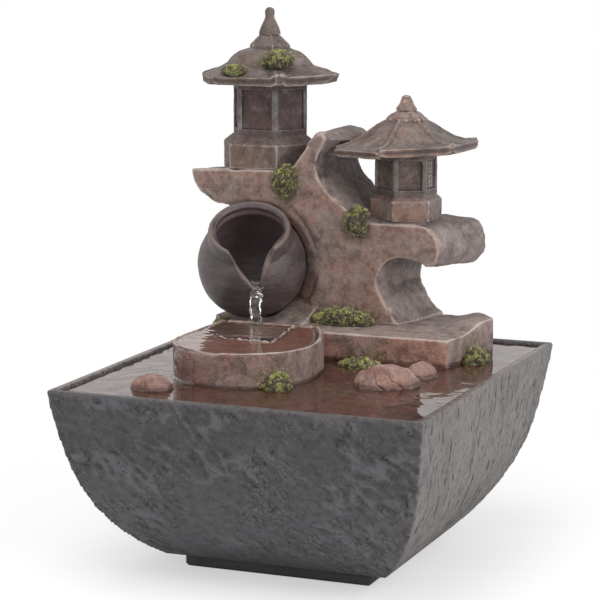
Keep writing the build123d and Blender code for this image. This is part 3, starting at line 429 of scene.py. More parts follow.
def mesh_arrays(mesh):
    """Places, normals and edge ends of a mesh as arrays."""
    count = len(mesh.vertices)
    places, normals = np.empty(count * 3), np.empty(count * 3)
    ends = np.empty(len(mesh.edges) * 2, dtype=np.int32)
    mesh.vertices.foreach_get("co", places)
    mesh.vertices.foreach_get("normal", normals)
    mesh.edges.foreach_get("vertices", ends)
    return places.reshape(-1, 3), normals.reshape(-1, 3), ends.reshape(-1, 2)


def averaged(values, ends, rounds):
    """Each row replaced by the mean of its neighbours, several times over."""
    count = len(values)
    first, second = ends[:, 0], ends[:, 1]
    share = np.bincount(ends.ravel(), minlength=count)[:, None]
    for _ in range(rounds):
        total = np.stack([np.bincount(first, values[second, k], count)
                          + np.bincount(second, values[first, k], count)
                          for k in range(values.shape[1])], axis=1)
        values = total / np.maximum(share, 1)
    return values


def write_mask(mesh, name, values):
    """Stores one number per point under a name, for a material to read."""
    layer = mesh.attributes.get(name) or mesh.attributes.new(name, "FLOAT", "POINT")
    layer.data.foreach_set("value", np.asarray(values).astype(np.float32))


def read_mask(mesh, name):
    """The numbers that were stored under this name."""
    values = np.empty(len(mesh.vertices), dtype=np.float32)
    mesh.attributes[name].data.foreach_get("value", values)
    return values


def measure_masks(piece):
    """Writes the edge, hollow, facing and side masks, set against the piece's own sharpest edges; the
    hollow mask is where the finishes paint shade.
    """
    rounds, least, sharpest = 3, 0.02, 0.985
    places, normals, ends = mesh_arrays(piece.data)
    drop = ((places - averaged(places, ends, rounds)) * normals).sum(1) / MM
    turned = averaged(np.stack([np.clip(-normals[:, 1], 0, 1), np.abs(normals[:, 0])], axis=1), ends,
                      rounds)
    write_mask(piece.data, "edge", np.clip(drop / max(least, np.quantile(drop, sharpest)), 0, 1))
    write_mask(piece.data, "hollow_shade", np.clip(-drop / max(3 * least, np.quantile(-drop, sharpest)), 0, 1))
    write_mask(piece.data, "facing", turned[:, 0])
    write_mask(piece.data, "side", turned[:, 1])


def move_points(piece, shift):
    """Moves each point by what shift gives for its place and normal."""
    places, normals, _ = mesh_arrays(piece.data)
    moved = places + np.array([shift(Vector(p), Vector(n)) for p, n in zip(places, normals)])
    piece.data.vertices.foreach_set("co", moved.ravel())
    piece.data.update()


moss_names = [name for name in cad if name.startswith("moss_")]


def stain_near_moss(piece):
    """Writes a mask that is 1 under each clump of moss and fades out around it."""
    places = mesh_arrays(piece.data)[0]
    stain = np.zeros(len(places))
    for name in moss_names:
        low, high = (np.array(corner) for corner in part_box(name))
        far = np.sqrt((((places - (low + high) / 2) / ((high - low) / 2)) ** 2).sum(1))
        stain = np.maximum(stain, np.clip((1.9 - far) / 0.8, 0, 0.8))
    write_mask(piece.data, "stain", stain)


def weather(piece, voxel, rounding, coarse, fine, shift=None):
    """Even skin, rounded edges, coarse lumps, its own shaping, masks, and last the fine lumps."""
    apply_modifier(piece, "REMESH", mode="VOXEL", voxel_size=voxel * MM)
    apply_modifier(piece, "SMOOTH", factor=0.5, iterations=rounding)
    lumps(piece, *coarse)
    if shift:
        move_points(piece, shift)
    measure_masks(piece)
    stain_near_moss(piece)
    lumps(piece, *fine)


def finish_piece(piece, material, slot, body, *replaced):
    """Smooth shading, finish, body, and the CAD nodes that the piece stands for."""
    pick(piece)
    bpy.ops.object.shade_smooth()
    piece.data.materials.append(material)
    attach(piece, body)
    if replaced:
        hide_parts(*replaced)
    print(piece.name, len(piece.data.polygons), "faces")


# %% [markdown]
# ## Rock wall and step
# The wall is one wave of stone with two deep hollows, and the pot's cradle is cast in one with it.
# Sculpting by hand would do, but the folds run straight back into the hollows, so noise that is
# stretched along the depth gives them. A crack and a groove are then cut along measured lines.

# %% Rock wall with its hollows
def smooth(value):
    """0 below 0, 1 above 1 and a soft curve between."""
    value = min(1.0, max(0.0, value))
    return value * value * (3 - 2 * value)


def crack(place, size, width):
    """1 along the thin lines where a cloud of this size changes sign, 0 elsewhere."""
    cloud = noise.noise(place / (size * MM))
    return max(0.0, 1 - abs(cloud) / width)


def beside_line(place, start, end):
    """Distance in millimetres from a point to the straight line between two others."""
    run = end - start
    share = min(1.0, max(0.0, (place - start).dot(run) / run.length_squared))
    return (place - start - run * share).length


slit_start, slit_end = Vector((46.8, 0, 168.9)), Vector((51.0, 0, 165.8))
groove_x, groove_z, groove_radius = -56.0, 147.0, 36.5


def rock_folds(place, normal):
    """Folds that run back along the hollows, one crack on the arm, a groove beside the pot."""
    side = 1 - min(1.0, abs(normal.y) * 1.6)
    at = place / MM
    folds = noise.noise(Vector((at.x / 7.5, at.y / 50, at.z / 7.5)))
    shift = 1.9 * folds * side
    if normal.y < -0.5 and at.y < 62:
        slit = beside_line(Vector((at.x, 0, at.z)), slit_start, slit_end)
        shift -= 1.6 * smooth((1.0 - slit) / 0.6)
        ring = hypot(at.x - groove_x, at.z - groove_z)
        sweep = smooth((at.x + 40) / 12)
        shift -= 0.5 * sweep * smooth(1 - abs(ring - groove_radius) / 3.0)
    return normal * (shift * MM)


rock = copy_of("rock", "rock_wall", "pot_cradle")
weather(rock, 0.88, 3, (16, 1.1), (3.2, 0.4), rock_folds)
finish_piece(rock, rock_stone, "rock_resin", "scenery", "rock_wall", "pot_cradle")


# %% Step behind the pool
def step_shoulder(place, normal):
    """A rounded shoulder that rises at the step's rear right corner."""
    x, y, z = place / MM
    near = smooth((x - 46) / 20) * smooth((y - 42) / 26)
    return Vector((0, 0, 4.0 * MM * near * smooth((z - 104) / 8)))


step = copy_of("step", "step_slab")
weather(step, 0.8, 3, (20, 0.9), (3.2, 0.3), step_shoulder)
finish_piece(step, step_stone, "rock_resin", "scenery", "step_slab")

# %% [markdown]
# ## The pool
# The pool is a dish with a round front. Its rim slopes inwards, dips where the water spills, and
# under the water a shelf with a low ridge surrounds the deep part. The solid has the dish only.
# Booleans would leave sharp seams in resin, so the points of the even skin are moved instead.

# %% Pool with its sloping rim, spill notch and shelf under the water
pool_x, pool_y, pool_radius, pool_length = -26.5, -28.0, 37.5, 52.3
notch_turn, notch_half = -37.0, 12.0
rim_low, shelf_low, rim_inside = 116.5, 115.5, 3.2
# Corners of the deep part, seen from above.
deep_outline = ((-20.0, 40.0), (-19.4, 16.0), (-16.6, -4.7), (-13.0, -26.5), (-20.0, -24.2),
                (-28.1, -24.6), (-38.6, -22.8), (-49.8, -18.1), (-70.0, -10.0), (-75.0, 40.0))


def rim_gap(x, y):
    """Millimetres from a point in to the pool's outer outline, negative outside."""
    x, back = x - pool_x, (y - pool_y) / pool_length
    if back < 0:
        return pool_radius - hypot(x, y - pool_y)
    return min(pool_radius - 17.4 * back ** 1.7 - x, x + pool_radius - 2.0 * back)


def rim_turn(x, y):
    """Degrees around the pool's round front, 0 at its middle and negative to the left."""
    return degrees(atan2(x - pool_x, pool_y - y))


def shelf_side(x, y):
    """Distance to the edge of the deep part, positive on the shelf in front and on the right."""
    nearest, inside = 1e9, False
    for (ax, ay), (bx, by) in zip(deep_outline, deep_outline[1:] + deep_outline[:1]):
        run_x, run_y = bx - ax, by - ay
        share = min(1.0, max(0.0, ((x - ax) * run_x + (y - ay) * run_y) / (run_x ** 2 + run_y ** 2)))
        nearest = min(nearest, hypot(x - ax - share * run_x, y - ay - share * run_y))
        if (ay > y) != (by > y) and x < ax + run_x * (y - ay) / run_y:
            inside = not inside
    return -nearest if inside else nearest


def pool_form(place, normal):
    """Slopes the rim inwards, lowers it at the notch, and lifts the shelf and its ridge."""
    x, y, z = place / MM
    gap = rim_gap(x, y)
    if z > rim_low and gap < 3.8:
        notch = 1.2 * max(0.0, 1 - ((rim_turn(x, y) - notch_turn) / notch_half) ** 2) * (y < pool_y)
        sink = (1.3 * smooth((gap - 0.8) / 1.1) + notch) * smooth((z - rim_low) / 1.5)
        return Vector((0, 0, -sink * MM))
    if z < shelf_low and gap > rim_inside and normal.z > 0.5:
        side = shelf_side(x, y) + 1.5 * noise.noise(Vector((x / 6, y / 6, 0)))
        uneven = 0.85 + 0.5 * noise.noise(Vector((x / 3, y / 3, 5)))
        ridge = 3.6 * max(0.0, 1 - abs(side) / 1.9) * uneven
        return Vector((0, 0, (3.4 * smooth((side + 1.0) / 2.0) + ridge) * MM))
    return Vector()


pool = copy_of("pool", "pool_dish")
weather(pool, 0.72, 2, (9, 0.5), (2.2, 0.45), pool_form)

# %% Soaked parts of the pool, and painted shade in its deep part
rim_line = 2.4
xs, ys, heights = mesh_arrays(pool.data)[0].T / MM
turns = np.array([rim_turn(x, y) for x, y in zip(xs, ys)])
gaps = np.array([rim_gap(x, y) for x, y in zip(xs, ys)])
spread = notch_half + np.clip(118 - heights, 0, 18)
spilled = np.clip((spread - np.abs(turns - notch_turn)) / 3, 0, 0.55) * (gaps < rim_line)
write_mask(pool.data, "soaked", np.where((heights < 117.8) & (gaps > rim_line), 1.0, spilled))
# Painted shade: the deep part of the pool goes into the hollow mask, darkest at the left.
deep = np.array([shelf_side(x, y) < -0.5 for x, y in zip(xs, ys)])
deep &= (gaps > rim_inside) & (heights < shelf_low)
write_mask(pool.data, "hollow_shade",
           np.where(deep, np.interp(xs, (-55, -24), (1.0, 0.4)), read_mask(pool.data, "hollow_shade")))
finish_piece(pool, pool_stone, "pool_resin", "scenery", "pool_dish")

# %% [markdown]
# ## Pebbles
# Three pebbles lie around the pool, cast with thin cracks and a few flat chips. A crack is a line, so
# it is cut where a cloud of noise changes sign, which gives long lines that never cross.


# %% Pebbles
def cracked(place, normal):
    """Thin cracks and a few flat chips."""
    chip = noise.noise(place / (5.5 * MM) + Vector((4, 2, 9)))
    return normal * ((-0.7 * crack(place, 12, 0.03) + 0.4 * smooth(chip * 3) - 0.2) * MM)


for name in ("rock_left", "rock_right", "rock_small"):
    pebble = copy_of(name.replace("rock", "pebble"), name)
    weather(pebble, 0.45, 4, (9, 2.0), (2.0, 0.35), cracked)
    finish_piece(pebble, pebble_stone, "pebble_resin", "scenery", name)

# %% [markdown]
# ## Two temple lanterns
# Each lantern is a base, a six-sided body with proud posts, a roof, a cap and a finial. Their
# solids are right, so weathering alone gives the tall one. The small one shows more: holes of its
# lattice in one face, a finial like a rough cone, and mortar that ran over the cap's edge.


# %% Lantern bases, bodies, caps and finials
half_side = radians(30)


def mark_posts(piece, node, turn):
    """Writes a mask that is 1 on the proud posts at the six corners of a lantern's body."""
    low, high = (np.array(corner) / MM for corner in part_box(node))
    places = mesh_arrays(piece.data)[0] / MM - (low + high) / 2
    angle = np.degrees(np.arctan2(places[:, 1], places[:, 0])) - turn
    off = np.radians((angle + 30) % 60 - 30)
    far = np.hypot(places[:, 0], places[:, 1])
    flat = far * np.cos(np.abs(off) - half_side)
    proud = np.clip((flat - (np.quantile(flat, 0.9) - 0.9)) / 0.4, 0, 1)
    post = proud * np.clip((4.6 - np.abs(far * np.sin(off))) / 0.8, 0, 1)
    post *= np.clip(((high[2] - low[2]) / 2 - 2.5 - np.abs(places[:, 2])) / 1.5, 0.25, 1)
    write_mask(piece.data, "post", 0.75 * post)


small_body, small_finial = ([Vector(corner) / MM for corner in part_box(node)]
                            for node in ("small_body", "small_finial"))
hole_columns, hole_rows, hole_half, hole_tall = (-1.7, 1.5), (-6.4, -2.6, 1.2, 5.0), 1.0, 1.35


def hole_at(place):
    """1 in the columns of small holes in the right face of the small lantern's body, 0 elsewhere."""
    off = place / MM - (small_body[0] + small_body[1]) / 2
    if off.x < 6:
        return 0.0
    return max(smooth((hole_half - max(abs(off.y - 0.35 - y), abs(off.z - z) / hole_tall)) / 0.35)
               for y in hole_columns for z in hole_rows)


def lattice(place, normal):
    """Sinks the holes of the lattice."""
    return normal * (-1.7 * hole_at(place) * MM) if normal.x > 0.7 else Vector()


def fuller(place, normal):
    """Fills the small finial's waist, so that it is a rough cone."""
    middle = (small_finial[0] + small_finial[1]) / 2
    share = (place.z / MM - small_finial[0].z) / (small_finial[1].z - small_finial[0].z)
    off = Vector((place.x / MM - middle.x, place.y / MM - middle.y, 0))
    rough = 0.6 * noise.noise(place / (2.6 * MM))
    fill = 5.3 * (1 - min(1.0, max(0.0, share)) ** 1.5 * 0.72) - off.length
    if not 0.05 < share < 0.93 or off.length < 0.8:
        return normal * (0.4 * rough * MM)
    return off.normalized() * ((max(0.0, fill) + rough) * MM)


def rough_edge(place, normal):
    """Breaks the edge of the small cap as if mortar had run over it."""
    bulge = noise.noise(Vector((place.x, place.y, 0.4 * place.z)) / (2.4 * MM))
    return Vector((normal.x, normal.y, 0.3 * normal.z)) * (0.9 * bulge * MM)


shapes = {"small body": lattice, "small finial": fuller, "small cap": rough_edge}
for lantern, stone, panels, turn in (("tall", tall_stone, tall_panels, 0.0),
                                     ("small", small_stone, small_panels, 28.0)):
    for part, voxel, rounding in (("base", 0.5, 4), ("body", 0.32, 2), ("cap", 0.4, 3),
                                  ("finial", 0.35, 3)):
        piece = copy_of(f"{lantern}_lantern_{part}", f"{lantern}_{part}")
        weather(piece, voxel, rounding, (8, 0.5), (1.8, 0.24), shapes.get(f"{lantern} {part}"))
        if (lantern, part) == ("small", "body"):
            # Painted shade: the holes of the lattice go into the hollow mask, so the finish darkens them.
            holes = np.array([hole_at(place) for place in map(Vector, mesh_arrays(piece.data)[0])])
            write_mask(piece.data, "hollow_shade", np.maximum(read_mask(piece.data, "hollow_shade"), holes))
            write_mask(piece.data, "edge", read_mask(piece.data, "edge") * (1 - holes))
        if part == "body":
            mark_posts(piece, f"{lantern}_body", turn)
        finish_piece(piece, panels if part == "body" else stone, "lantern_resin", "scenery",
                     f"{lantern}_{part}")

# %% [markdown]
# ## Lantern roofs
# A roof is six-sided with a sagging eave and lifted corners. No two corners of the real ones are
# alike, so each has its own lift, knob and tuck, by its angle in degrees. The points of the even
# skin are moved by one formula, which keeps the eave's thickness and its groove.


# %% Lantern roofs with lifted corners, a grooved edge and ribs along the hips
def roof_form(node, eave, corners, sag, rib, trim):
    """Shapes a roof: corners gives for each angle its lift below and above, knob and tuck."""
    low, high = (Vector(corner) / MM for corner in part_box(node))
    middle, radius = (low + high) / 2, max(high.x - low.x, high.y - low.y) / 2
    angles = sorted(corners)

    def shift(place, normal):
        x, y, z = place.x / MM - middle.x, place.y / MM - middle.y, place.z / MM - low.z
        far, angle = hypot(x, y), degrees(atan2(y, x))
        number = int(((angle - angles[0]) % 360) // 60)
        first, second = angles[number], angles[(number + 1) % 6]
        turn = radians((angle - first) % 360) - half_side
        # The blend starts at 0.21 and ends at 0.79, so that a lift reaches past its own corner.
        along = 0.5 + 0.5 * tan(turn)
        edge = radius * cos(half_side) / cos(turn)
        share = min(1.0, max(0.0, z / eave))
        below, above = (corners[first][k] * (1 - along) + corners[second][k] * along for k in (0, 1))
        out = max(0.0, (far / edge - 0.45) / 0.55) ** 2
        lift = out * (below + (above - below) * share - sag * sin(pi * along) * share)
        inwards = Vector()
        for corner in (first, second):
            off = radians((angle - corner + 180) % 360 - 180)
            reach, across = far * cos(off), abs(far * sin(off))
            knob, tuck = corners[corner][2:]
            ragged = 1 + 0.6 * noise.noise(Vector((x, y, z)) / 3.0)
            lift += knob * ragged * share * out * smooth(1.35 - across / 4.2)
            lift += rib * max(0.0, 1 - (across / 1.7) ** 2) * smooth((normal.z - 0.2) * 4)
            over = reach - (radius - 0.4 - tuck * (1 - share) - trim * abs(2 * share - 1) ** 3)
            if over > 0:
                inwards -= Vector((cos(radians(corner)), sin(radians(corner)), 0)) * over
        groove = 0.8 * sin(pi * share) * smooth((hypot(normal.x, normal.y) - 0.7) * 5)
        inwards -= Vector((x, y, 0)) * (groove / max(far, 1.0))
        return (inwards + Vector((0, 0, lift))) * MM
    return shift


tall_corners = {0: (0, 0.8, 0, 5.0), 60: (0, -0.6, 0, 3.0), 120: (0, 0, 0.6, 2.0),
                180: (-0.5, -1.0, 0, 3.0), 240: (0, -0.4, 0.4, 1.5), 300: (0, 0.2, 2.4, 0.8)}
small_corners = {28: (1.8, 2.9, 0.5, 1.2), 88: (2.4, 2.6, 0, 0.6), 148: (0.5, 0.5, 0, 0.6),
                 208: (-2.4, -2.0, 0, 0.6), 268: (0.0, 0.8, 0.4, 0.4), 328: (2.4, 3.6, 0.8, 0.6)}
for lantern, stone, eave, corners, sag, rib, trim in (
        ("tall", tall_stone, 5.2, tall_corners, 0.9, 0.12, 1.7),
        ("small", small_tiles, 3.6, small_corners, 0.5, 0.9, 2.2)):
    piece = copy_of(f"{lantern}_lantern_roof", f"{lantern}_roof")
    form = roof_form(f"{lantern}_roof", eave, corners, sag, rib, trim)
    weather(piece, 0.5, 3, (10, 0.8), (2.0, 0.3), form)
    finish_piece(piece, stone, "lantern_resin", "scenery", f"{lantern}_roof")

# %% [markdown]
# ## The bowl
# The bowl is cast resin with powdered slate. Its mould was taken from chiselled slate: slanting
# ripples cross the front and the back, and upright flutes cover the sides. A remeshed copy of the
# solid is fine enough to carry that relief as real shape, so it also shows along the outline. A
# node group adds the pale mineral veil and the damp rim, and paints light and shade: paler crests,
# dark troughs, lighter flanks and a paler foot.


# %% Bowl with its chiselled relief
carved_low, carved_top = 7.5, 101.2
slant = 0.7071


def slate_relief(place, normal):
    """Slanting ripples on front and back, upright flutes on the sides, none inside."""
    x, y, z = place / MM
    level = hypot(normal.x, normal.y)
    if z > carved_top or normal.x * x + normal.y * y < 10.0 * level or level < 0.15:
        return Vector()
    fade = min(1.0, (carved_top - z) / 3.0, max(0.0, (z - carved_low) / 3.0))
    across, along = (x + z) * slant, (x - z) * slant
    warp = 2.6 * noise.noise(Vector((x / 8, z / 8, y / 60 + 3.0)))
    busy = 0.35 + 0.75 * smooth(0.5 + 1.7 * noise.noise(Vector((x / 24, z / 18, y / 60 + 7.0))))
    crease = 1 - min(1.0, abs(noise.noise(Vector(((across + warp) / 5.6, along / 18, 2.0)))) * 5.0)
    fine = noise.noise(Vector(((across + warp) / 1.9, along / 5.0, 1.0)))
    ripple = min(0.15, (0.9 * crease + 0.65 * fine) * busy - 0.5)
    flute = min(0.1, 0.45 * noise.noise(Vector((y / 2.8 + z / 20, z / 9, 5.0)))
                + 0.4 * noise.noise(Vector((y / 9, z / 22, 6.0))) - 0.3)
    side = abs(normal.x) / level
    fade *= smooth((abs(side - 0.5) - 0.2) / 0.2)
    return normal * (((1 - side) * ripple + side * flute) * fade * MM)


bowl = copy_of("bowl", "basin")
apply_modifier(bowl, "REMESH", mode="VOXEL", voxel_size=1.52 * MM)
apply_modifier(bowl, "SHRINKWRAP", target=cad["basin"], wrap_method="NEAREST_SURFACEPOINT")
places, normals, _ = mesh_arrays(bowl.data)
depth = np.array([slate_relief(Vector(p), Vector(n)).dot(Vector(n)) / MM for p, n in zip(places, normals)])
move_points(bowl, slate_relief)
measure_masks(bowl)
# Painted light and shade: the depth of the relief is stored, so that the slate finish makes its crests
# paler and its troughs darker.
write_mask(bowl.data, "crest", np.where(depth == 0, 0.5, np.clip(depth + 0.85, 0, 1)))
places, normals, _ = mesh_arrays(bowl.data)
# The rim is damp inside and on top, less so at the front and the back.
top_face, inside_low, end_walls = 101.6, 90.0, 104.0
outward = (places[:, :2] * normals[:, :2]).sum(1)
rim = (places[:, 2] > inside_low * MM) & ((outward < 0.01) | (places[:, 2] > top_face * MM))
write_mask(bowl.data, "rim", rim * np.where(np.abs(places[:, 1]) > end_walls * MM, 0.3, 1.0))
print("relief from", round(depth.min(), 2), "to", round(depth.max(), 2), "mm")


# %% Node group: chiselled slate
def build_slate_group():
    """Slanting seams in front, scratches and gouges on the sides, a damp rim, and painted light and shade
    on the relief and the flanks.
    """
    colour, number = "NodeSocketColor", "NodeSocketFloat"
    tree, given, result = new_group(
        "Chiselled slate",
        [("Body", colour, WHITE), ("Veil And Light", colour, WHITE), ("Deep Shade", colour, WHITE),
         ("Side", colour, WHITE), ("Rim", colour, WHITE)],
        [("Color", colour), ("Roughness", number), ("Height", number)])
    slate, veil_and_light, deep, dry, damp = given.outputs[:5]
    place = add_node(tree, "TexCoord").outputs["Object"]
    clouds = noise_value(tree, place, 26.0, 5.0, 0.62, 0.6)
    mottled = noise_value(tree, place, 330.0, 5.0, 0.7)
    grain = noise_value(tree, place, 1500.0, 3.0, 0.65)
    # Front: slanting seams whose low parts get painted shade, and thin pale crests, painted highlights
    # that show in some places only.
    slanted = streaks(tree, place, (240.0, 90.0, 95.0), (0.0, 0.785, 0.0), 6.0, 0.62, 0.9)
    seam = calc(tree, "ABSOLUTE", calc(tree, "SUBTRACT", slanted, 0.5))
    crest = times(tree, band(tree, seam, 0.0, 0.035, 1.0, 0.0), band(tree, clouds, 0.44, 0.6))
    front = lay(tree, slate, veil_and_light, clouds, 0.42, 0.68, 0.0, 0.6)
    front = lay(tree, front, deep, slanted, 0.34, 0.48, 0.5, 0.0)
    front = mix(tree, times(tree, crest, 0.4), front, dry)
    # The relief that the mesh carries gets painted light and shade: its crests are paler, its troughs stay
    # dark.
    uneven = times(tree, calc(tree, "SUBTRACT", mottled, 0.5), 0.7)
    carved = calc(tree, "ADD", mask(tree, "crest"), uneven)
    front = lay(tree, front, veil_and_light, carved, 0.62, 0.95, 0.0, 0.5)
    front = lay(tree, front, deep, carved, 0.1, 0.42, 0.6, 0.0)
    # Painted bounce light from the pale floor: the lower half is paler.
    height = add_node(tree, "SeparateXYZ", {0: place}).outputs["Z"]
    front = lay(tree, front, veil_and_light, height, 0.01, 0.085, 0.5, 0.0)
    # Side: a warm dry grey, lighter than the front partly in its own tone and partly as painted light,
    # with short gouges darkened as painted shade and fine upright scratches.
    scratched = streaks(tree, place, (60.0, 520.0, 110.0), (0.16, 0.0, 0.0), 4.0, 0.6, 0.5)
    gouge = band(tree, streaks(tree, place, (60.0, 330.0, 85.0), (-0.2, 0.0, 0.0), 2.0, 0.5, 0.6),
                 0.6, 0.67)
    lit_flank = lay(tree, dry, veil_and_light, clouds, 0.4, 0.64, 0.0, 0.45)
    lit_flank = lay(tree, lit_flank, slate, scratched, 0.48, 0.64, 0.0, 0.6)
    lit_flank = mix(tree, times(tree, gouge, 0.7), lit_flank, deep)
    side, rim = band(tree, mask(tree, "side"), 0.3, 0.75), mask(tree, "rim")
    body = mix(tree, side, front, lit_flank)
    # Mottling, painted shade in the hollows and paler edges all over, and the damp rim last.
    body = lay(tree, body, tinted(tree, body, srgb(158, 155, 157)), mottled, 0.48, 0.66, 0.0, 0.65)
    body = lay(tree, body, dry, mottled, 0.3, 0.46, 0.2, 0.0)
    body = lay(tree, body, deep, mask(tree, "hollow_shade"), 0.25, 1.0, 0.0, 0.5)
    body = lay(tree, body, dry, mask(tree, "edge"), 0.35, 1.0, 0.0, 0.25)
    body = mix(tree, rim, body, lay(tree, damp, slate, mottled, 0.36, 0.62))
    form = mix_number(tree, side, calc(tree, "ADD", slanted, times(tree, crest, 0.5)),
                      calc(tree, "SUBTRACT", scratched, gouge))
    skin = times(tree, calc(tree, "ADD", mottled, times(tree, grain, 0.4)), 0.7)
    rough = mix_number(tree, rim, band(tree, clouds, 0.35, 0.65, 0.5, 0.68), 0.2)
    give(tree, result, Color=body, Roughness=rough, Height=calc(tree, "ADD", form, skin))
    return tree


slate_group = build_slate_group()


def slate_material(name, tones, bump):
    """Slate in its body, veil and light, deep shade, lit side and rim tones."""
    body, veil_and_light, deep, side, rim = (srgb(*tone) for tone in tones)
    material, tree, shader = new_material(name, IOR=1.45)
    look = add_node(tree, "Group", {"Body": body, "Veil And Light": veil_and_light, "Deep Shade": deep, "Side": side,
                                    "Rim": rim}, node_tree=slate_group)
    give(tree, shader, Base_Color=look.outputs["Color"], Roughness=look.outputs["Roughness"])
    relief(tree, shader, look.outputs["Height"], bump * MM)
    return material


bowl_slate = slate_material("chiselled slate", ((67, 65, 68), (102, 100, 104), (36, 34, 37),
                                                (114, 109, 106), (120, 100, 91)), 1.8)
finish_piece(bowl, bowl_slate, "slate_resin", "basin", "basin")

# %% [markdown]
# ## Water
# Clear water has no colour of its own: it bends what lies under it and mirrors what stands beyond
# it. So each body of water is a closed volume with the refractive index of water. The surface is a
# fine grid with low ripples, and its edge is drawn down in steps and closed.


# %% Water surfaces
water_paint, _, _ = new_material("clear water", Base_Color=WHITE, Roughness=0.02, IOR=1.333,
                                 Transmission_Weight=1.0)


def ripples(x, y, rings, breeze):
    """Height in millimetres of the rings around a few middles and of a fine random chop."""
    height = breeze * (0.22 * noise.noise(Vector((x / 9, y / 9, 0.5)))
                       + 0.1 * noise.noise(Vector((x / 3.5, y / 3.5, 4.5))))
    for middle_x, middle_y, strength, length in rings:
        far = hypot(x - middle_x, y - middle_y)
        height += strength * sin(2 * pi * far / length) / (1 + far / length)
    return height


def water_body(name, half_x, half_y, middle, level, cell, keep, drops, rings, breeze):
    """Grid at the level, trimmed by keep, rippled, then drawn down through (drop, scale) steps."""
    bpy.ops.mesh.primitive_grid_add(x_subdivisions=round(2 * half_x / cell),
                                    y_subdivisions=round(2 * half_y / cell), size=2 * MM,
                                    location=(middle[0] * MM, middle[1] * MM, level * MM))
    water = bpy.context.object
    water.name = name
    bpy.ops.transform.resize(value=(half_x, half_y, 1.0))
    bpy.ops.object.transform_apply(location=True, rotation=True, scale=True)
    if keep:
        mesh = bmesh.new()
        mesh.from_mesh(water.data)
        outside = [f for f in mesh.faces if not keep(f.calc_center_median() / MM)]
        bmesh.ops.delete(mesh, geom=outside, context="FACES")
        mesh.to_mesh(water.data)
        mesh.free()
    move_points(water, lambda place, normal: Vector(
        (0, 0, ripples(place.x / MM, place.y / MM, rings, breeze) * MM)))
    bpy.ops.object.mode_set(mode="EDIT")
    bpy.ops.mesh.select_all(action="DESELECT")
    bpy.ops.mesh.select_mode(type="EDGE")
    bpy.ops.mesh.select_non_manifold(extend=False)
    for drop, scale_x, scale_y in drops:
        bpy.ops.mesh.extrude_region_move(TRANSFORM_OT_translate={"value": (0, 0, -drop * MM)})
        bpy.ops.transform.resize(value=(scale_x, scale_y, 1.0),
                                 center_override=(middle[0] * MM, middle[1] * MM, level * MM))
    bpy.ops.mesh.edge_face_add()
    bpy.ops.mesh.select_all(action="SELECT")
    bpy.ops.mesh.normals_make_consistent(inside=False)
    bpy.ops.object.mode_set(mode="OBJECT")
    return water


# The steps follow the bowl's inner walls down to its floor.
basin_drops = ((4.0, 0.987, 0.988), (30.0, 0.949, 0.917), (25.0, 0.913, 0.881), (14.0, 0.891, 0.868),
               (10.0, 0.867, 0.823), (2.0, 0.963, 0.938))
basin_water = water_body("basin_water", 95.7, 105.3, (0, 0), basin_level, 1.15, None, basin_drops,
                         ((-44.0, -64.0, 0.2, 7.0), (0.0, -70.0, 0.05, 13.0)), 0.65)
finish_piece(basin_water, water_paint, "slate_resin", "basin")


def in_pool(place):
    """True up to where the pool's rim still stands above the water."""
    return rim_gap(place.x, place.y) > 1.25 and place.y < 22.5


pool_water = water_body("pool_water", 40.0, 46.0, (pool_x, -22.0), pool_level, 0.8, in_pool,
                        ((4.6, 1.0, 1.0),), ((-41.0, 20.0, 0.3, 6.0), (-20.0, -5.0, 0.06, 8.0)), 0.7)
finish_piece(pool_water, water_paint, "pool_resin", "scenery")

# %% [markdown]
# ## Stream and spill film
# Falling water is a closed skin lofted through rings. The stream from the pot thins as it falls and
# its ripples pinch it. The film that spills over the pool's notch is a wide flat ring that follows
# the wall down and widens.


# %% Loft through rings
def loft_rings(name, rings):
    """A closed skin through rings of equally many points, with its two ends filled."""
    count = len(rings[0])
    points = [point for ring in rings for point in ring]
    faces = [(r * count + k, r * count + (k + 1) % count, (r + 1) * count + (k + 1) % count,
              (r + 1) * count + k) for r in range(len(rings) - 1) for k in range(count)]
    faces += [tuple(range(count))[::-1], tuple(range(len(points) - count, len(points)))]
    mesh = bpy.data.meshes.new(name)
    mesh.from_pydata(points, [], faces)
    piece = new_object(name, mesh)
    pick(piece)
    bpy.ops.object.mode_set(mode="EDIT")
    bpy.ops.mesh.select_all(action="SELECT")
    bpy.ops.mesh.normals_make_consistent(inside=False)
    bpy.ops.object.mode_set(mode="OBJECT")
    return piece


# %% Film over the notch
# Distance from the middle of the pool's round front, and height.
film_route = ((34.4, 117.7), (36.0, 117.5), (37.0, 117.0), (37.6, 116.0), (37.8, 114.0), (37.8, 110.0),
              (37.8, 106.0), (37.9, 102.4), (38.8, 100.4))
film_points, film_steps = 64, 72


def film_ring(share):
    """A flat ring on the pool's wall, share of the way from the water above to the water below."""
    place = share * (len(film_route) - 1.001)
    number = int(place)
    far, high = Vector(film_route[number]).lerp(Vector(film_route[number + 1]), place - number)
    ring = []
    for k in range(film_points):
        turn = 2 * pi * k / film_points
        ragged = noise.noise(Vector((share * 4, 2, 3 * cos(turn))))
        across = cos(turn) * (6.5 + 5.5 * share) * (1 + 0.4 * ragged)
        wave = noise.noise(Vector((across / 1.2, share * 12, 7)))
        beaded = 1 + noise.noise(Vector((share * 16, 5, across)))
        bead = 0.4 * smooth((abs(cos(turn)) - 0.6) / 0.3) * beaded
        depth = sin(turn) * (0.35 + bead + 0.45 * wave) if sin(turn) > 0 else 0.6 * sin(turn)
        angle = radians(notch_turn) + across / far
        radius = far + depth
        ring.append(((pool_x + radius * sin(angle)) * MM, (pool_y - radius * cos(angle)) * MM,
                     (high + (depth if share < 0.3 else 0.0)) * MM))
    return ring


film = loft_rings("spill_film", [film_ring(k / film_steps) for k in range(film_steps + 1)])
finish_piece(film, water_paint, "pool_resin", "scenery")

# %% [markdown]
# ## The clay pot
# The pot is a thrown ball with a short neck. Its lip is a round bead that turns down both sides of
# the spout, so it is laid over the copy as a bevelled curve before the whole is remeshed.

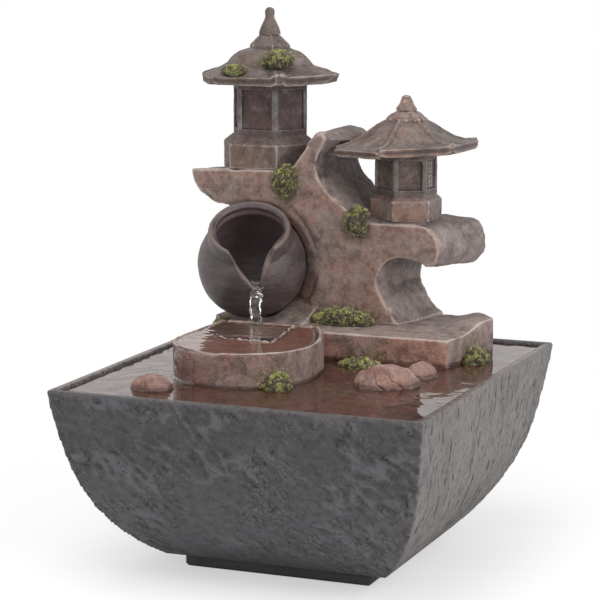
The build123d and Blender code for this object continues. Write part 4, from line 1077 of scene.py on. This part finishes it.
# %% Pot and its lip
# From the right side of the spout up around the mouth and down the left side.
lip_route = ((-41.2, 27.6, 136.6), (-39.6, 26.9, 141.0), (-38.4, 26.8, 146.0), (-37.3, 28.6, 152.0),
             (-35.4, 32.6, 157.4), (-33.4, 38.0, 162.0), (-32.0, 44.0, 166.6), (-36.9, 50.2, 172.2),
             (-46.0, 54.1, 176.4), (-56.8, 53.2, 178.0), (-66.0, 47.9, 176.4), (-71.4, 39.5, 172.2),
             (-71.6, 31.6, 166.0), (-68.4, 28.0, 160.4), (-62.6, 23.6, 154.6), (-55.2, 21.8, 148.7),
             (-49.6, 22.4, 142.5), (-45.2, 24.8, 136.9))
bead = bpy.data.curves.new("pot lip", "CURVE")
bead.dimensions = "3D"
bead.bevel_depth = 1.45 * MM
bead.bevel_resolution = 6
bead.use_fill_caps = True
route = bead.splines.new("NURBS")
route.points.add(len(lip_route) - 1)
for point, (x, y, z) in zip(route.points, lip_route):
    point.co = (x * MM, y * MM, z * MM, 1.0)
    point.radius = 0.85 + 0.5 * smooth((164 - z) / 10) * smooth((z - 136) / 8)
route.order_u = 3
route.use_endpoint_u = True
lip = new_object("pot lip", bead)
pick(lip)
bpy.ops.object.convert(target="MESH")
pot = copy_of("pot", "pot", lip)
bpy.data.objects.remove(lip)
weather(pot, 0.62, 9, (14, 0.8), (3.4, 0.22))
pot_x, pot_y = -55.8, 50.0
places, normals, _ = mesh_arrays(pot.data)
write_mask(pot.data, "inner", ((places - np.array((pot_x, pot_y, 145.8)) * MM) * normals).sum(1) < -2 * MM)


def build_clay(name):
    """Dark clay with faint throwing rings, rubbed pale on its edges and paler inside, with painted shade
    in its hollows.
    """
    material, tree, shader = new_material(name, IOR=1.5, Coat_Weight=0.08, Coat_Roughness=0.3)
    place = add_node(tree, "TexCoord").outputs["Object"]
    clouds = noise_value(tree, place, 60.0, 5.0, 0.6, 0.5)
    mottled = noise_value(tree, place, 420.0, 5.0, 0.68)
    grain = noise_value(tree, place, 1400.0, 3.0, 0.6)
    throws = streaks(tree, place, (60.0, 60.0, 420.0), (0.0, 0.0, 0.0), 3.0, 0.55, 0.0)
    body = lay(tree, srgb(62, 53, 54), srgb(84, 71, 69), clouds, 0.4, 0.62)
    body = lay(tree, body, srgb(98, 83, 79), throws, 0.5, 0.68, 0.0, 0.35)
    body = lay(tree, body, srgb(50, 42, 43), mottled, 0.5, 0.7, 0.0, 0.5)
    body = lay(tree, body, srgb(118, 98, 92), mask(tree, "edge"), 0.3, 1.0, 0.0, 0.4)
    inside = mix(tree, clouds, srgb(88, 77, 80), srgb(122, 102, 103))
    body = mix(tree, mask(tree, "inner"), body, inside)
    # Painted shade in the hollows.
    body = lay(tree, body, srgb(34, 28, 29), mask(tree, "hollow_shade"), 0.2, 0.9, 0.0, 0.7)
    body = lay(tree, body, srgb(122, 104, 98), grain, 0.6, 0.74, 0.0, 0.3)
    give(tree, shader, Base_Color=body, Roughness=band(tree, clouds, 0.35, 0.65, 0.42, 0.62))
    height = calc(tree, "ADD", times(tree, grain, 0.3), calc(tree, "ADD", throws, mottled))
    relief(tree, shader, height, 0.3 * MM)
    return material


clay = build_clay("dark clay")
finish_piece(pot, clay, "pot_clay", "scenery", "pot")

# %% Water in the pot and the falling stream
pot_level = 138.4
bpy.ops.mesh.primitive_uv_sphere_add(segments=64, ring_count=40, radius=28.4 * MM,
                                     location=(pot_x * MM, pot_y * MM, 145.75 * MM))
pot_water = bpy.context.object
pot_water.name = "pot_water"
bpy.ops.object.transform_apply(location=True, rotation=True, scale=True)
bpy.ops.object.mode_set(mode="EDIT")
bpy.ops.mesh.select_all(action="SELECT")
bpy.ops.mesh.bisect(plane_co=(0, 0, pot_level * MM), plane_no=(0, 0, 1), use_fill=True, clear_outer=True)
bpy.ops.object.mode_set(mode="OBJECT")
finish_piece(pot_water, water_paint, "pot_clay", "scenery")


stream_start, stream_end = Vector((-42.9, 26.4, 138.2)), Vector((-40.6, 19.5, 117.6))
stream_points, stream_steps = 36, 110


def stream_ring(share):
    """One ring of the stream: a ribbon that thins as it falls, pinched into beads by its ripples."""
    fall = share ** 0.8
    run = stream_end - stream_start
    x = stream_start.x + run.x * share + 0.25 * sin(17 * share)
    y = stream_start.y + run.y * (1 - (1 - share) ** 1.7)
    z = stream_start.z + run.z * share ** 1.5
    pulse = 0.1 * sin(44 * fall) + 0.12 * noise.noise(Vector((share * 14, 3.0, 1.0)))
    half_width = (3.7 - 0.9 * fall) * (1 + 0.5 * pulse) + 1.6 * max(0.0, share - 0.9) / 0.1
    half_depth = (1.0 + 0.5 * fall) * (1 + 2.2 * pulse)
    ring = []
    for k in range(stream_points):
        angle = 2 * pi * k / stream_points
        rough = noise.noise(Vector((cos(angle) * 2.2, sin(angle) * 2.2, share * 16)))
        wave = 1 + 0.1 * sin(5 * angle + 4 * share) + 0.2 * rough
        ring.append(((x + half_width * wave * cos(angle)) * MM, (y + half_depth * wave * sin(angle)) * MM,
                     z * MM))
    return ring


stream = loft_rings("stream", [stream_ring(k / stream_steps) for k in range(stream_steps + 1)])
finish_piece(stream, water_paint, "pot_clay", "scenery")

# %% [markdown]
# ## Moss
# The moss is flock and fine foam crumbs glued in clumps. Each clump has a lumpy core in the space
# of its solid, and about a thousand crumbs or more stand on it. A tint is stored on each crumb, so
# that one material gives bright tips, olive crumbs and dark gaps. The tint also holds painted light,
# brighter where a crumb faces up, and the bare core takes the darkest tone as painted shade.


# %% Crumbs on lumpy cores
def crumb_shape():
    """The points and faces of one crumb: an icosphere of twenty faces."""
    bpy.ops.mesh.primitive_ico_sphere_add(subdivisions=1, radius=1.0)
    crumb = bpy.context.object
    points = mesh_arrays(crumb.data)[0]
    faces = np.array([face.vertices[:] for face in crumb.data.polygons])
    bpy.data.objects.remove(crumb)
    return points, faces


crumb_points, crumb_faces = crumb_shape()
# The share of its height by which a clump is pressed down, 0.1 where none is given.
squash = {"moss_step_front": 0.4, "moss_pot": 0.45, "moss_step_side": 0.25, "moss_pool": 0.15,
          "moss_roof_left": 0.2}
crumb_size = 0.5


def grow_moss(name, count, seed):
    """A deeply lumped copy of the clump's solid, with tufts of crumbs on its tops and dark gaps; crumbs
    that face up get a brighter tint as painted light.
    """
    core = copy_of(name, name)
    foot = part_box(name)[0][2]
    move_points(core, lambda place, normal: Vector((0, 0, (foot - place.z) * squash.get(name, 0.1))))
    apply_modifier(core, "REMESH", mode="VOXEL", voxel_size=0.6 * MM)
    apply_modifier(core, "SMOOTH", factor=0.5, iterations=3)
    lumps(core, 4.6, 4.2)
    lumps(core, 1.7, 1.6)
    chance = random.Random(seed)
    places, normals, _ = mesh_arrays(core.data)
    points, faces, tints = [], [], []
    while len(points) < count:
        at = chance.randrange(len(places))
        clump = noise.noise(Vector(places[at]) / (2.3 * MM) + Vector((seed, 0, 0)))
        if normals[at][2] < -0.6 or chance.random() > 0.35 + 1.6 * clump:
            continue
        reach = crumb_size * chance.uniform(0.55, 1.2) * MM
        lean = Vector(normals[at]) + Vector([chance.uniform(-0.9, 0.9) for _ in range(3)])
        turn = lean.to_track_quat("Z", "Y").to_matrix()
        squeeze = np.array([chance.uniform(0.4, 0.9), chance.uniform(0.4, 0.8), chance.uniform(0.8, 1.9)])
        shape = (crumb_points * squeeze) @ np.array(turn).T * reach
        points.append(shape + places[at] + np.array(lean.normalized()) * reach * chance.uniform(0.1, 0.9))
        faces.append(crumb_faces + len(crumb_points) * len(faces))
        # Painted light: a crumb that faces up gets a brighter tint.
        bright = chance.random() ** 1.3 * (0.55 + 0.45 * max(normals[at][2], 0)) + 0.5 * clump
        tints.append(np.full(len(crumb_points), min(1.0, max(0.12, bright))))
    crumbs = bpy.data.meshes.new(name + " crumbs")
    crumbs.from_pydata(np.concatenate(points).tolist(), [], np.concatenate(faces).tolist())
    write_mask(crumbs, "tint", np.concatenate(tints))
    pick(core, new_object(name + " crumbs", crumbs))
    bpy.ops.object.join()
    return core


def build_moss(name):
    """Olive flock with bright tips, brown patches and dark gaps, by the tint of each crumb; the tint
    carries painted light, and the untinted core is painted shade.
    """
    material, tree, shader = new_material(name, Roughness=0.85, IOR=1.45, Sheen_Weight=0.3,
                                          Sheen_Roughness=0.5)
    place = add_node(tree, "TexCoord").outputs["Object"]
    tint = mask(tree, "tint")
    patches = noise_value(tree, place, 260.0, 3.0)
    flock = noise_value(tree, place, 2600.0, 2.0)
    # Painted shade: the core has no tint and takes the darkest tone. Bright tips are partly painted
    # highlights.
    body = lay(tree, srgb(46, 40, 28), srgb(112, 110, 58), tint, 0.0, 0.4)
    body = lay(tree, body, srgb(176, 174, 98), tint, 0.4, 0.85)
    body = lay(tree, body, srgb(92, 74, 54), patches, 0.48, 0.68, 0.0, 0.6)
    # Pale flecks of flock, partly painted highlights.
    body = lay(tree, body, srgb(196, 192, 134), flock, 0.55, 0.75, 0.0, 0.35)
    give(tree, shader, Base_Color=body)
    relief(tree, shader, flock, 0.2 * MM)
    return material


moss_paint = build_moss("flocked moss")
clumps = {"moss_roof_left": 1000, "moss_roof_front": 1800, "moss_arm": 1040, "moss_notch": 960,
          "moss_step": 2600, "moss_pool": 1600, "moss_step_front": 2400, "moss_step_side": 1600,
          "moss_pot": 900}
for seed, (name, count) in enumerate(clumps.items()):
    clump = grow_moss(name, count, seed)
    finish_piece(clump, moss_paint, "moss", "scenery", name)

# %% [markdown]
# ## Parts that keep their solids
# Deck, plinth, pump and hose have the right shape already, and only need their finish. Most of
# them are hidden below the deck, so one function makes all the plain plastics and rubbers.


# %% Moulded parts
def moulded(name, colour, roughness, fleck=0.12, fleck_scale=300.0, bump=0.05, **sockets):
    """Plain moulded stuff with faint flow clouds and a fine skin."""
    material, tree, shader = new_material(name, **sockets)
    place = add_node(tree, "TexCoord").outputs["Object"]
    clouds = noise_value(tree, place, fleck_scale, 4.0)
    skin = noise_value(tree, place, 2500.0, 2.0)
    darker = tuple(channel * (1 - 2.5 * fleck) for channel in colour[:3]) + (1.0,)
    give(tree, shader, Base_Color=lay(tree, colour, darker, clouds, 0.35, 0.7),
         Roughness=band(tree, skin, 0.3, 0.7, roughness, min(1.0, roughness + 0.15)))
    relief(tree, shader, skin, bump * MM)
    return material


def dress(node, material):
    """Gives a CAD node that keeps its shape its finish."""
    mesh = cad[node].data
    mesh.materials.clear()
    mesh.materials.append(material)


plinth_paint = slate_material("dark plinth", ((46, 43, 45), (58, 54, 55), (28, 26, 28), (66, 61, 61),
                                              (46, 43, 45)), 0.2)
dress("plinth", plinth_paint)
deck_paint = stone_material("wet deck", ((140, 100, 86), (122, 100, 90), (168, 134, 118), (74, 50, 42)),
                            0.1, 0.3, 0.9, 6, 0.3)
dress("deck_tray", deck_paint)
rubber = moulded("black rubber", srgb(34, 34, 36), 0.55)
for node in ("base_pad", "cord_grommet", "pot_grommet", "shaft_bush"):
    dress(node, rubber)
pump_black = moulded("pump plastic", srgb(28, 30, 34), 0.38, bump=0.08)
for node in ("pump_housing", "volute_plate", "strainer_cover", "cable_gland"):
    dress(node, pump_black)
dress("suction_cups", moulded("smoky cups", srgb(60, 62, 64), 0.3, Coat_Weight=0.4))
dress("potting_cap", moulded("potting resin", srgb(20, 20, 22), 0.15, Coat_Weight=0.6))
dress("motor_core", moulded("laminated iron", srgb(96, 92, 88), 0.4, Metallic=0.9))
dress("impeller_shaft", moulded("white ceramic", srgb(226, 222, 214), 0.2, 0.03))
dress("rotor_magnet", moulded("ferrite magnet", srgb(52, 50, 52), 0.45))
dress("impeller_wheel", moulded("wheel plastic", srgb(46, 60, 88), 0.35))
dress("filter_sponge", moulded("filter foam", srgb(56, 62, 66), 0.9, 0.3, 900.0, 0.5))
dress("flow_dial", moulded("dial plastic", srgb(198, 200, 200), 0.35, 0.04))
dress("riser_tube", moulded("clear vinyl", srgb(206, 212, 212), 0.18, 0.03, Transmission_Weight=0.6))
print(len(bpy.data.materials), "materials in all")
